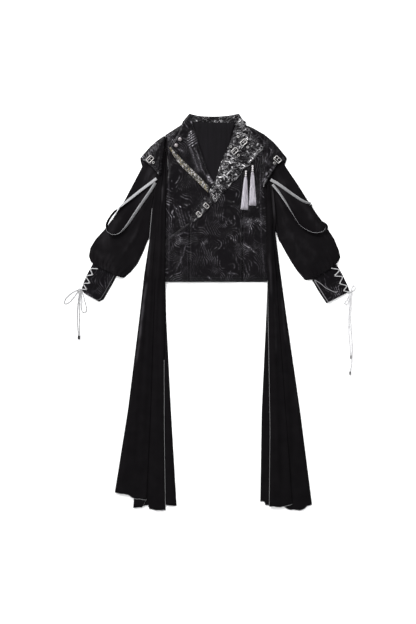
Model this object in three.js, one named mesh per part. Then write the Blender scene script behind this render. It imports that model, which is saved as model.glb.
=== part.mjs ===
// A cropped cross-over hanfu top with shoulder caps, laced bishop sleeves and two long pleated streamers,
// laid out flat on its back. Millimetres: +X is towards the wearer's left, +Y towards the collar, +Z up.
// Each cloth piece is a wall of its own thickness, and each layer lies a small gap above the one below.
import * as THREE from 'three';
import { mergeVertices } from 'three/addons/utils/BufferGeometryUtils.js';

// Driving sizes
const WALL = 1.4; // coated jacquard
const CREPE = 1.2; // streamers and tapes
const LINING = 1.0;
const LAPEL = 1.6; // jacquard with its facing
const GAP = 0.3; // air between pieces that touch
const SLOPE = 25; // width over which a panel's edge comes down to its seam
const HEM_Y = 105; // lower edge of the bodice
const SHOULDER_Y = 620; // outer end of the shoulder seams

// Heights of the underside of each layer above the table
const LAYER = {
  table: 0,
  lining: WALL + GAP,
  seam: WALL + GAP, // where a front meets the back
  under: WALL + LINING + 2 * GAP, // wearer's right front
  over: 2 * WALL + LINING + 3 * GAP, // wearer's left front, and the right lapel beside it
  band: 3 * WALL + LINING + 4 * GAP + 0.1,
  brocade: 2 * WALL + LINING + LAPEL + 4 * GAP + 0.2,
  leftLapel: 3 * WALL + LINING + 5 * GAP + 0.3,
  collarTip: 3 + GAP, // where a lapel folds over the neck band
  shoulder: 7, // cap front, and the streamer's head beside it
};
const BAND_TOP = LAYER.band + CREPE;
const LEFT_LAPEL_TOP = LAYER.leftLapel + LAPEL;
const RIGHT_LAPEL_TOP = LAYER.over + LAPEL;
const FRONT_TOP = LAYER.over + WALL;
const CAP_TOP = LAYER.shoulder + WALL;

// ---------------------------------------------------------------- materials

const finish = (color, roughness, metalness = 0) => (
  new THREE.MeshStandardMaterial({ color, roughness, metalness })
);
const LOOK = {
  jacquard: () => finish(0x17161a, 0.38),
  foil: () => finish(0x56565c, 0.3, 0.4),
  crepe: () => finish(0x121114, 0.85),
  lining: () => finish(0x17151a, 0.7),
  brocade: () => finish(0x8f8a68, 0.5, 0.3),
  tape: () => finish(0xd6d6da, 0.5),
  silk: () => finish(0xc9c5cf, 0.45),
  pearl: () => finish(0xd8d2d2, 0.2),
  metal: () => finish(0xb8b6b0, 0.25, 1),
  cord: () => finish(0xe6e6e8, 0.8),
  aglet: () => finish(0x1a1a1c, 0.3),
};

// ---------------------------------------------------------------- solids

const lerp = (a, b, t) => a + (b - a) * t;
const mix = (a, b, t) => a.map((value, k) => lerp(value, b[k], t));
const distance = (a, b) => Math.hypot(a[0] - b[0], a[1] - b[1]);

// Closed solid between two equal grids of points; `ring` joins each row's last point to its first.
function wall(outer, inner, ring = false) {
  const rows = outer.length;
  const columns = outer[0].length;
  const positions = [...outer.flat(), ...inner.flat()].flat();
  const index = [];
  const at = (side, i, j) => side * rows * columns + i * columns + (j % columns);
  const quad = (a, b, c, d) => index.push(a, b, c, a, c, d);
  const spans = ring ? columns : columns - 1;
  for (let i = 0; i < rows - 1; i += 1) {
    for (let j = 0; j < spans; j += 1) {
      quad(at(0, i, j), at(0, i + 1, j), at(0, i + 1, j + 1), at(0, i, j + 1));
      quad(at(1, i, j), at(1, i, j + 1), at(1, i + 1, j + 1), at(1, i + 1, j));
    }
    if (!ring) {
      const last = columns - 1;
      quad(at(0, i, 0), at(1, i, 0), at(1, i + 1, 0), at(0, i + 1, 0));
      quad(at(0, i, last), at(0, i + 1, last), at(1, i + 1, last), at(1, i, last));
    }
  }
  for (let j = 0; j < spans; j += 1) {
    const end = rows - 1;
    quad(at(0, 0, j), at(0, 0, j + 1), at(1, 0, j + 1), at(1, 0, j));
    quad(at(0, end, j), at(1, end, j), at(1, end, j + 1), at(0, end, j + 1));
  }
  return outward(positions, index);
}

// Geometry whose faces point out, whichever way its grid was walked.
function outward(positions, index) {
  let volume = 0;
  const corner = (k) => new THREE.Vector3().fromArray(positions, 3 * index[k]);
  for (let k = 0; k < index.length; k += 3) {
    volume += corner(k).dot(corner(k + 1).cross(corner(k + 2)));
  }
  if (volume < 0) {
    for (let k = 0; k < index.length; k += 3) {
      [index[k + 1], index[k + 2]] = [index[k + 2], index[k + 1]];
    }
  }
  const geometry = new THREE.BufferGeometry();
  geometry.setAttribute('position', new THREE.Float32BufferAttribute(positions, 3));
  geometry.setIndex(index);
  return mergeVertices(geometry, 1e-3);
}

// Flat panel through rows of { left, right, z }: z is the underside's height, or its heights at the
// left edge, middle and right edge.
function panel(rows, thickness, slope = SLOPE) {
  const lower = rows.map(({ left, right, z }) => {
    const edge = Math.min(slope / distance(left, right), 0.35);
    const heights = Array.isArray(z) ? z : [z, z, z];
    const spots = [[0, heights[0]], [edge, heights[1]], [1 - edge, heights[1]], [1, heights[2]]];
    return spots.map(([t, height]) => [...mix(left, right, t), height]);
  });
  const upper = lower.map((row) => row.map(([x, y, height]) => [x, y, height + thickness]));
  return wall(upper, lower);
}

// Flattened tube through rows of { outer, inner, base, height, bow }: flat below, crowned above.
const TUBE_EDGE = 3.7; // height of the folded side of a flattened tube
const TUBE_SPOTS = [0, 0.12, 0.3, 0.5, 0.7, 0.88, 1];
function tubeRing({ outer, inner, base, height, bow = 0 }, inset) {
  const width = distance(outer, inner);
  const side = [(inner[1] - outer[1]) / width, (outer[0] - inner[0]) / width];
  const place = (t, z) => {
    const push = bow * 4 * t * (1 - t);
    const [x, y] = mix(outer, inner, t);
    return [x - side[0] * push, y - side[1] * push, z];
  };
  const corner = (1.2 + inset * 0.8) / width;
  const across = TUBE_SPOTS.map((t) => lerp(corner, 1 - corner, t));
  const crown = (t) => base + TUBE_EDGE + (height - TUBE_EDGE) * (1 - (2 * t - 1) ** 2) - inset;
  return [
    place(inset / width, base + TUBE_EDGE / 2),
    ...across.map((t) => place(t, crown(t))),
    place(1 - inset / width, base + TUBE_EDGE / 2),
    ...across.reverse().map((t) => place(t, base + inset)),
  ];
}
const tube = (rows, thickness) => wall(
  rows.map((row) => tubeRing(row, 0)),
  rows.map((row) => tubeRing(row, thickness)),
  true,
);

// Cap folded along its upper edge: rows of { fold, front, back, bow }, open where the sleeve comes out.
const CAP_BENDS = [5, 1.6]; // distances from the fold at which the front layer turns down
function cap(rows) {
  const layer = ({ fold, front, back, bow = 0 }, inset) => {
    const along = (t) => mix(front, fold, t).map((value, k) => value + (k ? 0 : bow * 4 * t * (1 - t)));
    const up = LAYER.shoulder + WALL - inset;
    const down = inset;
    const reach = distance(fold, front);
    const near = CAP_BENDS.map((d) => Math.min(d, reach * 0.45 * (d / CAP_BENDS[0])) / reach);
    const backReach = distance(fold, back);
    const turn = mix(fold, front, inset / reach);
    return [
      [...front, up],
      [...along(0.35), up],
      [...along(0.7 * (1 - near[0])), up],
      [...mix(fold, front, near[0] + (0.3 * inset) / reach), up - 0.2],
      [...mix(fold, front, near[1] + (0.6 * inset) / reach), up - 1.4],
      [...turn, (LAYER.shoulder + WALL) / 2],
      [...mix(fold, back, (1.6 + 0.6 * inset) / backReach), down + 0.6],
      [...mix(fold, back, Math.min(5 / backReach, 0.4)), down],
      [...back, down],
    ];
  };
  return wall(rows.map((row) => layer(row, 0)), rows.map((row) => layer(row, WALL)));
}

// Closed outline pushed up by `height` from z = 0, with optional holes.
function plate(points, height, holes = []) {
  const shape = new THREE.Shape(points.map(([x, y]) => new THREE.Vector2(x, y)));
  shape.holes = holes.map((hole) => new THREE.Path(hole.map(([x, y]) => new THREE.Vector2(x, y))));
  return new THREE.ExtrudeGeometry(shape, { depth: height, bevelEnabled: false });
}
const rectangle = (cx, cy, width, height) => [
  [cx - width / 2, cy - height / 2],
  [cx + width / 2, cy - height / 2],
  [cx + width / 2, cy + height / 2],
  [cx - width / 2, cy + height / 2],
];

// Smooth curve through a route of [x, y, z] points.
function smooth(route) {
  const points = route.map((point) => new THREE.Vector3(...point));
  return new THREE.CatmullRomCurve3(points, false, 'centripetal');
}

// Round cord along a smooth curve through its route.
function cord(route, diameter, steps) {
  const extrudePath = smooth(route);
  const section = new THREE.Shape();
  section.absarc(0, 0, diameter / 2, 0, 2 * Math.PI);
  return new THREE.ExtrudeGeometry(section, {
    steps,
    extrudePath,
    curveSegments: 4,
    bevelEnabled: false,
  });
}

// ---------------------------------------------------------------- the set

const set = new THREE.Group();

function add(name, geometry, material, { x = 0, y = 0, z = 0, turn = 0 } = {}) {
  const mesh = new THREE.Mesh(geometry, material());
  mesh.name = name;
  mesh.position.set(x, y, z);
  mesh.rotation.z = THREE.MathUtils.degToRad(turn);
  set.add(mesh);
  return mesh;
}

const row = (left, right, z) => ({ left, right, z });

// Bodice. The wearer's left front wraps over the right one, down to the right side seam.
function addBodice() {
  const { table, seam, lining, under, over } = LAYER;
  add('back', panel([
    row([-117, 657], [112, 652], table),
    row([-175, SHOULDER_Y], [174, SHOULDER_Y], table),
    row([-168, 567], [166, 567], table),
    row([-166, 514], [163, 514], table),
    row([-180, 462], [173, 462], table),
    row([-208, 406], [196, 406], table),
    row([-214, 374], [200, 374], table),
    row([-210, 252], [202, 252], table),
    row([-215, HEM_Y], [210, HEM_Y], table),
  ], WALL), LOOK.jacquard);

  add('back_lining', panel([
    row([-82, 655], [72, 650.5], lining),
    row([-82, 620], [56, 620], lining),
    row([-76, 560], [60, 560], lining),
    row([-60, 480], [60, 480], lining),
    row([-46, 425], [46, 425], lining),
  ], LINING), LOOK.lining);

  add('front_right', panel([
    row([-116, 655.5], [-106, 655.2], seam),
    row([-174.5, SHOULDER_Y - 0.5], [-84, SHOULDER_Y], [seam, under, under]),
    row([-168, 567], [-56, 567], [seam, under, under]),
    row([-166, 514], [-36, 514], [seam, under, under]),
    row([-180, 462], [-13, 462], [seam, under, under]),
    row([-208, 406], [12, 406], [seam, under, under]),
    row([-214, 374], [40, 374], [seam, under, under]),
    row([-210, 252], [70, 252], [seam, under, under]),
    row([-215, HEM_Y], [70, HEM_Y], [seam, under, under]),
  ], WALL), LOOK.jacquard);

  add('front_left', panel([
    row([90, 648], [104.5, 651], seam),
    row([62, 602], [99, 602], over),
    row([42, 560], [97, 560], over),
    row([16, 470], [96, 470], over),
    row([8, 440], [96, 436], over),
    row([-13, 410], [96, 404], over),
    row([-50, 364], [95.5, 364], over),
    row([-90, 316], [95, 316], over),
    row([-91, 252], [94.5, 252], over),
    row([-93, HEM_Y], [94, HEM_Y], over),
  ], WALL), LOOK.jacquard);

  add('front_left_side', panel([
    row([105.2, 651], [111.5, 651], seam),
    row([103.3, 635], [144, 635], [seam + 1.5, seam + 1.2, seam]),
    row([99.5, 602], [171, 602], [over, over, seam]),
    row([97.5, 560], [165.5, 560], [over, over, seam]),
    row([96.5, 514], [163, 514], [over, over, seam]),
    row([96.5, 462], [173, 462], [over, over, seam]),
    row([96.5, 406], [196, 406], [over, over, seam]),
    row([96, 364], [200, 374], [over, over, seam]),
    row([95, 252], [202, 252], [over, over, seam]),
    row([94.5, HEM_Y], [210, HEM_Y], [over, over, seam]),
  ], WALL), LOOK.jacquard);

  add('front_left_wrap', panel([
    row([-93.5, 312], [-90.6, 314.5], over),
    row([-156, 266], [-91.4, 266], over),
    row([-209, 226], [-91.8, 226], over),
    row([-214.5, HEM_Y], [-93.5, HEM_Y], over),
  ], WALL), LOOK.jacquard);
}

// Collar: a stand at the back of the neck, and two lapels that fold over its ends.
function addCollar() {
  const { table, over, leftLapel, collarTip, band, brocade } = LAYER;
  const stand = 3; // height of the stand, folded double
  add('neck_band', panel([
    row([-115, 659], [-114.5, 657.6], table),
    row([-90, 694], [-90, 657.2], table),
    row([-60, 687], [-60, 656.6], table),
    row([-8, 684], [-8, 655.4], table),
    row([45, 687], [45, 654.2], table),
    row([81, 694], [81, 653.4], table),
    row([107, 656], [107, 653], table),
  ], stand), LOOK.foil);

  add('lapel_right', panel([
    row([-91.5, 693.6], [-88.5, 693], collarTip),
    row([-116, 662], [-79, 665], collarTip),
    row([-128, 628], [-68, 626], over),
    row([-147, 597], [-59, 595], over),
    row([-162, 574], [-53, 576], over),
    row([-154, 558], [-47, 558], over),
    row([-131, 522], [-35, 522], over),
    row([-79, 469], [-23, 488], over),
    row([-40, 430], [-10, 463], over),
    row([-23, 413], [-2, 446], over),
  ], LAPEL, 6), LOOK.jacquard);

  add('lapel_left', panel([
    row([81, 693], [83.5, 692], collarTip),
    row([73, 667], [106, 656], collarTip),
    row([64, 637], [130, 628], 5.4),
    row([53, 598], [154, 601], leftLapel),
    row([44, 576], [169.5, 574], leftLapel),
    row([33, 553], [144, 544], leftLapel),
    row([19, 522], [126, 518], leftLapel),
    row([11, 497], [102, 500], leftLapel),
    row([-1, 461], [75, 464], leftLapel),
    row([-14, 438], [38, 426], leftLapel),
    row([-24, 416], [9, 393], leftLapel),
    row([-14, 399], [-3, 381.5], leftLapel),
  ], LAPEL, 6), LOOK.foil);

  add('closure_band', panel([
    row([-32, 408], [-8, 378], band),
    row([-58, 377], [-34, 350], band),
    row([-82, 347], [-62, 322], band),
    row([-90, 333], [-78, 312], band),
  ], CREPE, 4), LOOK.foil);

  add('brocade_strip', panel([
    row([-161, 574], [-157, 577], brocade),
    row([-153, 558], [-145, 564], brocade),
    row([-131, 523], [-120, 537], brocade),
    row([-79, 470], [-69, 486], brocade),
    row([-27, 418], [-20, 436], brocade),
  ], CREPE, 3), LOOK.brocade);
}

// Straps with their buckles: x, y is the buckle, and turn is the strap's direction.
const STRAP_WIDTH = 15;
const BUCKLE = { length: 18, width: 23, bar: 2.6, height: 1.8 };
const PRONG = 2;

function buckle() {
  const { length, width, bar, height } = BUCKLE;
  const slot = (width - 2 * bar - PRONG) / 2;
  const holes = [-1, 1].map((side) => rectangle(0, (side * (slot + PRONG)) / 2, length - 2 * bar, slot));
  return plate(rectangle(0, 0, length, width), height, holes);
}

function addStraps() {
  const straps = [
    { name: 'upper', x: 98, y: 592, turn: -47, length: 66, shift: 2 },
    { name: 'lower', x: 67, y: 562, turn: -47, length: 58, shift: 4 },
  ];
  for (const { name, x, y, turn, length, shift } of straps) {
    const z = LEFT_LAPEL_TOP + GAP;
    const angle = THREE.MathUtils.degToRad(turn);
    const centre = { x: x + shift * Math.cos(angle), y: y + shift * Math.sin(angle), z, turn };
    add(`lapel_strap_${name}`, plate(rectangle(0, 0, length, STRAP_WIDTH), CREPE), LOOK.foil, centre);
    add(`lapel_buckle_${name}`, buckle(), LOOK.metal, { x, y, z: z + CREPE + GAP, turn });
  }
  const bandBuckles = [
    { name: 'upper', x: -32, y: 371 },
    { name: 'lower', x: -58, y: 342 },
  ];
  for (const { name, x, y } of bandBuckles) {
    add(`band_buckle_${name}`, buckle(), LOOK.metal, { x, y, z: BAND_TOP + GAP, turn: 48 });
  }
}

// Shoulder caps: a fold along the shoulder, a front lower edge, and a longer back edge under the sleeve.
const CAPS = {
  right: [
    { fold: [-182, 615], front: [-197, 476], back: [-203, 470] },
    { fold: [-205, 599], front: [-208, 491], back: [-213, 482] },
    { fold: [-229, 578], front: [-221, 505], back: [-228, 494] },
    { fold: [-250, 554], front: [-242, 523], back: [-246, 503] },
    { fold: [-265, 535], front: [-256, 531], back: [-256, 508] },
  ],
  left: [
    { fold: [176.5, 617], front: [167, 434], back: [180, 474], bow: -4 },
    { fold: [202, 596], front: [184.5, 466], back: [197, 468] },
    { fold: [221, 575], front: [200, 490], back: [216, 488] },
    { fold: [237, 555], front: [214, 516], back: [234, 505] },
    { fold: [251, 538], front: [241, 531], back: [243, 517] },
  ],
};
const CAP_STRAP = 15; // width of the strap along a cap's lower edge
const CAP_BUCKLES = { right: { x: -229, y: 534, turn: -45 }, left: { x: 217, y: 533, turn: 48 } };

function addCaps() {
  for (const side of ['right', 'left']) {
    add(`cap_${side}`, cap(CAPS[side]), LOOK.jacquard);
    const z = CAP_TOP + GAP;
    const rows = CAPS[side].map(({ fold, front }) => {
      const reach = distance(fold, front);
      return row(mix(front, fold, 0.5 / reach), mix(front, fold, Math.min(CAP_STRAP / reach, 0.45)), z);
    });
    add(`cap_strap_${side}`, panel(rows, CREPE, 3), LOOK.foil);
    add(`cap_buckle_${side}`, buckle(), LOOK.metal, { ...CAP_BUCKLES[side], z: z + CREPE + GAP });
  }
}

// Bishop sleeves: from the armhole, through the fullest row, and gathered in to the cuff.
const FULL = 6.3; // height of a flattened sleeve where it is fullest
const bend = (outer, inner, base, height, bow = 0) => ({ outer, inner, base, height, bow });
const INSIDE_CAP = WALL + GAP;
const SLEEVES = {
  right: [
    bend([-187, 600], [-214, 396], INSIDE_CAP, 4.6, 14),
    bend([-236, 557], [-216, 366], INSIDE_CAP, 4.8, 8),
    bend([-257, 507], [-220, 336], INSIDE_CAP, 5.0),
    bend([-295, 434], [-225, 294], 0, 6),
    bend([-321, 385], [-234, 259], 0, 6.1),
    bend([-359, 326], [-245, 228], 0, 6.2),
    bend([-387, 290], [-257, 200], 0, FULL),
    bend([-420, 254], [-273, 168], 0, FULL),
    bend([-438, 224], [-296, 140], 0, FULL),
    bend([-443, 196], [-319, 120], 0, FULL),
    bend([-437, 177], [-338, 119], 0, 6),
    bend([-429, 169], [-345, 128], 0, 5),
  ],
  left: [
    bend([181, 600], [205, 396], INSIDE_CAP, 4.6, -16),
    bend([224, 558], [207, 368], INSIDE_CAP, 4.8, -8),
    bend([245, 510], [208, 343], INSIDE_CAP, 5.0),
    bend([287, 448], [209, 312], 0, 6),
    bend([322, 392], [214, 280], 0, 6.1),
    bend([355, 343], [226, 245], 0, 6.2),
    bend([388, 298], [245, 210], 0, FULL),
    bend([415, 257], [264, 177], 0, FULL),
    bend([432, 215], [285, 145], 0, FULL),
    bend([437, 191], [313, 112], 0, FULL),
    bend([430, 177], [331, 112], 0, 6),
    bend([422, 169], [337, 114], 0, 5),
  ],
};
const CUFF_WALL = 1.6;
const CUFFS = {
  right: [
    bend([-429.2, 168.5], [-345.2, 127.5], 0, 5),
    bend([-446, 138], [-360, 98], 0, 5),
    bend([-460, 107], [-377, 69], 0, 5),
    bend([-469, 79], [-391, 44], 0, 5),
    bend([-458, 64], [-408, 35], 0, 5),
  ],
  left: [
    bend([422.3, 168.6], [337.3, 113.6], 0, 5),
    bend([443, 133], [359, 75], 0, 5),
    bend([461, 96], [378, 46], 0, 5),
    bend([469, 74], [388, 31], 0, 5),
    bend([456, 64], [393, 32], 0, 5),
  ],
};

function addSleeves() {
  for (const side of ['right', 'left']) {
    add(`sleeve_${side}`, tube(SLEEVES[side], CREPE), LOOK.crepe);
    add(`cuff_${side}`, tube(CUFFS[side], CUFF_WALL), LOOK.jacquard);
  }
}

// Streamers: knife-pleated drapes sewn into the armhole seams. Each row gives the two long edges and the
// height of the underside, which drops to `seam` where the right edge is sewn to the front; each pleat ends
// at its own hem and lies higher towards its free fold.
const ARMHOLE_SEAM = LAYER.under + WALL + GAP + 0.1;
const STREAMERS = {
  right: {
    rows: [
      { left: [-180.5, 612], right: [-171, 612], z: LAYER.shoulder, seam: ARMHOLE_SEAM },
      { left: [-180.5, 567], right: [-166.5, 567], z: LAYER.shoulder, seam: ARMHOLE_SEAM },
      { left: [-194, 480], right: [-168, 480], z: LAYER.shoulder, seam: ARMHOLE_SEAM },
      { left: [-200, 450], right: [-170, 450], z: LAYER.shoulder, seam: ARMHOLE_SEAM },
      { left: [-221, 368], right: [-173, 368], z: LAYER.shoulder, seam: ARMHOLE_SEAM },
      { left: [-231, 252], right: [-175, 252], z: LAYER.shoulder },
      { left: [-250, 126], right: [-175, 126], z: LAYER.shoulder },
      { left: [-253, 96], right: [-175, 96], z: 6 },
      { left: [-267, -28], right: [-172, -28], z: 0 },
      { left: [-306, -343], right: [-156, -343], z: 0 },
    ],
    left: [-352, -631],
    right: [-136, -679],
    // share of the width where each pleat starts, its layers at both sides, and its hem
    pleats: [
      { name: 'side', from: 0, low: 1, high: 3, hem: [-631, -650] },
      { name: 'middle', from: 0.53, low: 1, high: 2, hem: [-690, -694] },
      { name: 'inner', from: 0.82, low: 1, high: 1, hem: [-679, -679] },
    ],
  },
  left: {
    rows: [
      { left: [167, 432], right: [187, 466], z: LAYER.shoulder },
      { left: [170, 400], right: [195, 420], z: LAYER.shoulder },
      { left: [175, 368], right: [201, 368], z: LAYER.shoulder },
      { left: [178, 252], right: [213, 252], z: LAYER.shoulder },
      { left: [182, 126], right: [229, 126], z: LAYER.shoulder },
      { left: [182, 96], right: [233, 96], z: 6 },
      { left: [177, -28], right: [250, -28], z: 0 },
      { left: [162, -346], right: [296, -346], z: 0 },
    ],
    left: [157, -663],
    right: [338, -672],
    pleats: [
      { name: 'inner', from: 0, low: 1, high: 1, hem: [-663, -672] },
      { name: 'middle', from: 0.18, low: 2, high: 1, hem: [-678, -680] },
      { name: 'side', from: 0.6, low: 1, high: 1, hem: [-691, -674] },
    ],
  },
};
const PLEAT_SHEER = 0.004; // width share over which a pleat's edge rises

function streamer({ rows, left, right, pleats }) {
  const columns = pleats.flatMap(({ from, low, high, hem }, k) => {
    const to = k + 1 < pleats.length ? pleats[k + 1].from : 1;
    return [
      { t: k ? from + PLEAT_SHEER : 0, layers: low, hem: hem[0] },
      { t: to === 1 ? 1 : to - PLEAT_SHEER, layers: high, hem: hem[1] },
    ];
  });
  const lower = rows.map(({ left: a, right: b, z, seam = z }) => (
    columns.map(({ t }) => [...mix(a, b, t), t === 1 ? seam : z])
  ));
  lower.push(columns.map(({ t, hem }) => [lerp(left[0], right[0], t), hem, 0]));
  const upper = lower.map((line) => line.map(([x, y, z], j) => [x, y, z + CREPE * columns[j].layers]));
  return wall(upper, lower);
}

function addStreamers() {
  for (const side of ['right', 'left']) {
    add(`streamer_${side}`, streamer(STREAMERS[side]), LOOK.crepe);
  }
}

// Ribbon loops: a braided tape that leaves the cap, hangs across the sleeve and comes back.
const TAPE_WIDTH = 11;
const TAPES = {
  right: [
    [-206, 466], [-229, 449], [-268, 420], [-306, 390], [-343, 360], [-366, 334], [-380, 306], [-378, 284],
    [-364, 272], [-345, 271], [-328, 281], [-308, 304], [-281, 344], [-256, 381], [-232, 416], [-209, 451],
  ],
  left: [
    [193, 462], [219, 447], [250, 425], [280, 404], [305, 386], [330, 376], [352, 352], [372, 322],
    [378, 298], [366, 280], [338, 280], [314, 289], [293, 307], [276, 331], [258, 364], [240, 398],
    [219, 424], [200, 446],
  ],
};
const TAPE_Z = INSIDE_CAP + 5 + GAP; // clears the sleeve where it leaves the cap

function tapeLoop(route) {
  const curve = smooth(route.map(([x, y]) => [x, y, TAPE_Z]));
  const steps = 40;
  const lower = [];
  for (let k = 0; k <= steps; k += 1) {
    const point = curve.getPointAt(k / steps);
    const along = curve.getTangentAt(k / steps);
    const sideways = new THREE.Vector2(-along.y, along.x).multiplyScalar(TAPE_WIDTH / 2);
    const edge = (side) => [point.x + side * sideways.x, point.y + side * sideways.y, TAPE_Z];
    lower.push([edge(-1), edge(1)]);
  }
  const upper = lower.map((line) => line.map(([x, y, z]) => [x, y, z + CREPE]));
  return wall(upper, lower);
}

function addTapes() {
  for (const side of ['right', 'left']) {
    add(`ribbon_loop_${side}`, tapeLoop(TAPES[side]), LOOK.tape);
  }
}

// Pearl buttons on the right lapel, and two beaded tassels under the left one.
const PEARL = { radius: 7, height: 9 };
const BEAD = { radius: 3.6, pitch: 7.6, neck: 1 };
const TASSELS = [
  { name: 'inner', top: [107, 495], tip: [101, 359], width: 26 },
  { name: 'outer', top: [130, 513], tip: [129.5, 373], width: 25 },
];
const SKIRT = { top: 7, height: 6 };

function addPearls() {
  const profile = [];
  for (let k = 0; k <= 8; k += 1) {
    const angle = (k / 8) * Math.PI;
    const y = (PEARL.height / 2) * (1 - Math.cos(angle));
    profile.push(new THREE.Vector2(PEARL.radius * Math.sin(angle), y));
  }
  const spots = { upper: [-124, 603], lower: [-137, 582] };
  for (const [name, [x, y]] of Object.entries(spots)) {
    const dome = new THREE.LatheGeometry(profile, 16).rotateX(Math.PI / 2);
    add(`pearl_button_${name}`, dome, LOOK.pearl, { x, y, z: RIGHT_LAPEL_TOP + GAP });
  }
}

function beadString() {
  const { radius, pitch, neck } = BEAD;
  const profile = [new THREE.Vector2(0, 0)];
  const half = Math.asin(neck / radius);
  for (let bead = 0; bead < 3; bead += 1) {
    for (let k = 0; k <= 5; k += 1) {
      const angle = lerp(half, Math.PI - half, k / 5);
      const y = bead * pitch + radius * (1 - Math.cos(angle));
      profile.push(new THREE.Vector2(radius * Math.sin(angle), y));
    }
  }
  profile.push(new THREE.Vector2(0, 2 * pitch + 2 * radius));
  return new THREE.LatheGeometry(profile, 8);
}

function addTassels() {
  const z = FRONT_TOP + GAP;
  const string = 2 * BEAD.pitch + 2 * BEAD.radius;
  for (const { name, top, tip, width } of TASSELS) {
    const length = distance(top, tip);
    const along = [(tip[0] - top[0]) / length, (tip[1] - top[1]) / length];
    const turn = THREE.MathUtils.radToDeg(Math.atan2(along[0], -along[1]));
    const end = top.map((value, k) => value + along[k] * string);
    const hung = { x: end[0], y: end[1], z: z + BEAD.radius, turn };
    add(`tassel_beads_${name}`, beadString(), LOOK.pearl, hung);
    const neck = top.map((value, k) => value + along[k] * (string + GAP));
    const rows = [0, 0.12, 0.5, 1].map((t) => ({
      half: lerp(SKIRT.top, width, t ** 0.8) / 2,
      y: -t * distance(neck, tip),
      rise: lerp(4, SKIRT.height, t),
    }));
    const crown = [[-1, 0.4], [-0.5, 0.9], [0, 1], [0.5, 0.9], [1, 0.4]];
    const upper = rows.map(({ half, y, rise }) => crown.map(([s, h]) => [s * half, y, h * rise]));
    const lower = upper.map((line) => line.map(([x, y]) => [x, y, 0]));
    add(`tassel_skirt_${name}`, wall(upper, lower), LOOK.silk, { x: neck[0], y: neck[1], z, turn });
  }
}

// Laces. The lacing zigzags over each cuff; a bow's loops and ends lie on the table beyond it.
const LACE = 2; // diameter
const LACE_Z = LACE / 2 + 0.1;
const LACING_Z = 5 + GAP + LACE / 2;
const KNOT = { radius: 4.2, height: 7 };
const KNOT_REACH = 4.7; // distance from a knot's middle at which each cord meets it
const AGLET = { length: 12, diameter: 3 };
// Each bow's cords meet its knot at the angles given first and last; the routes between are on the table.
const LACES = {
  right: {
    knot: [-474.4, 80],
    lacing: [
      [-411, 151], [-437, 150], [-431, 131], [-452, 125],
      [-441, 102], [-462, 99], [-452, 80], [-469.3, 80],
    ],
    loops: {
      outer: {
        from: 190,
        to: 222,
        route: [[-498, 70], [-516, 56], [-529, 39], [-528, 30], [-517, 31], [-504, 42], [-490, 60]],
      },
      inner: {
        from: 340,
        to: 314,
        route: [[-463, 60], [-457, 36], [-452, 15], [-454, 1], [-463, -1], [-468, 6], [-468, 40]],
      },
    },
    ends: {
      short: { from: 252, route: [[-479, 50], [-483, 15], [-484, -25], [-482, -60], [-480, -83]] },
      long: { from: 283, route: [[-475, 45], [-476, 10], [-476, -25], [-475.5, -60], [-475.5, -83]] },
    },
  },
  left: {
    knot: [474.4, 70],
    lacing: [
      [406, 153], [433, 146], [419, 127], [444, 122],
      [436, 100], [459, 91], [450, 75], [469.4, 70],
    ],
    loops: {
      outer: { from: 80, to: 30, route: [[477, 86], [482, 93], [488, 89], [486, 79]] },
      inner: { from: 215, to: 245, route: [[462, 49], [454, 37], [451, 29], [457, 26], [464, 36]] },
    },
    ends: {
      short: {
        from: 273,
        route: [[472, 30], [467, -10], [465, -50], [468, -90], [472, -125], [474, -152]],
      },
      long: {
        from: 303,
        route: [[478, 30], [474, -10], [472, -50], [475, -95], [479, -140], [475, -180], [471, -208]],
      },
    },
  },
};

function meet([x, y], degrees) {
  const angle = THREE.MathUtils.degToRad(degrees);
  return [x + KNOT_REACH * Math.cos(angle), y + KNOT_REACH * Math.sin(angle)];
}

function knotBulb() {
  const { radius, height } = KNOT;
  const outline = [[0, 0], [0.85, 0], [1, 0.2], [1, 0.7], [0.6, 1], [0, 1]];
  const profile = outline.map(([r, h]) => new THREE.Vector2(r * radius, h * height));
  return new THREE.LatheGeometry(profile, 10).rotateX(Math.PI / 2);
}

function addLaces() {
  const lay = (route) => route.map(([x, y]) => [x, y, LACE_Z]);
  for (const [side, { knot, lacing, loops, ends }] of Object.entries(LACES)) {
    const held = lacing.map(([x, y], k) => [x, y, k + 1 < lacing.length ? LACING_Z : LACING_Z - 0.9]);
    add(`lacing_${side}`, cord(held, LACE, 40), LOOK.cord);
    add(`lace_knot_${side}`, knotBulb(), LOOK.cord, { x: knot[0], y: knot[1] });
    for (const [name, { from, to, route }] of Object.entries(loops)) {
      const points = lay([meet(knot, from), ...route, meet(knot, to)]);
      add(`lace_loop_${name}_${side}`, cord(points, LACE, 20), LOOK.cord);
    }
    for (const [name, { from, route }] of Object.entries(ends)) {
      add(`lace_end_${name}_${side}`, cord(lay([meet(knot, from), ...route]), LACE, 20), LOOK.cord);
      const [x, y] = route[route.length - 1];
      const aglet = new THREE.CylinderGeometry(AGLET.diameter / 2, AGLET.diameter / 2, AGLET.length, 10);
      const place = { x, y: y - GAP - AGLET.length / 2, z: AGLET.diameter / 2 };
      add(`aglet_${name}_${side}`, aglet, LOOK.aglet, place);
    }
  }
}

addBodice();
addCollar();
addStraps();
addCaps();
addSleeves();
addStreamers();
addTapes();
addPearls();
addTassels();
addLaces();

export default set;
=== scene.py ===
"""The hanfu set's visual model, laid flat on its back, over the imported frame.

Metres, in the row frame: +X towards the wearer's left, +Y towards the collar, +Z up from the table.
Outlines come from the frame's solids. Each cloth piece is laid on the ones below it, from the table up.
"""
import math
import random

import bmesh
import bpy
import numpy as np
from mathutils import Matrix, Vector, geometry, noise
from mathutils.bvhtree import BVHTree


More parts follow.
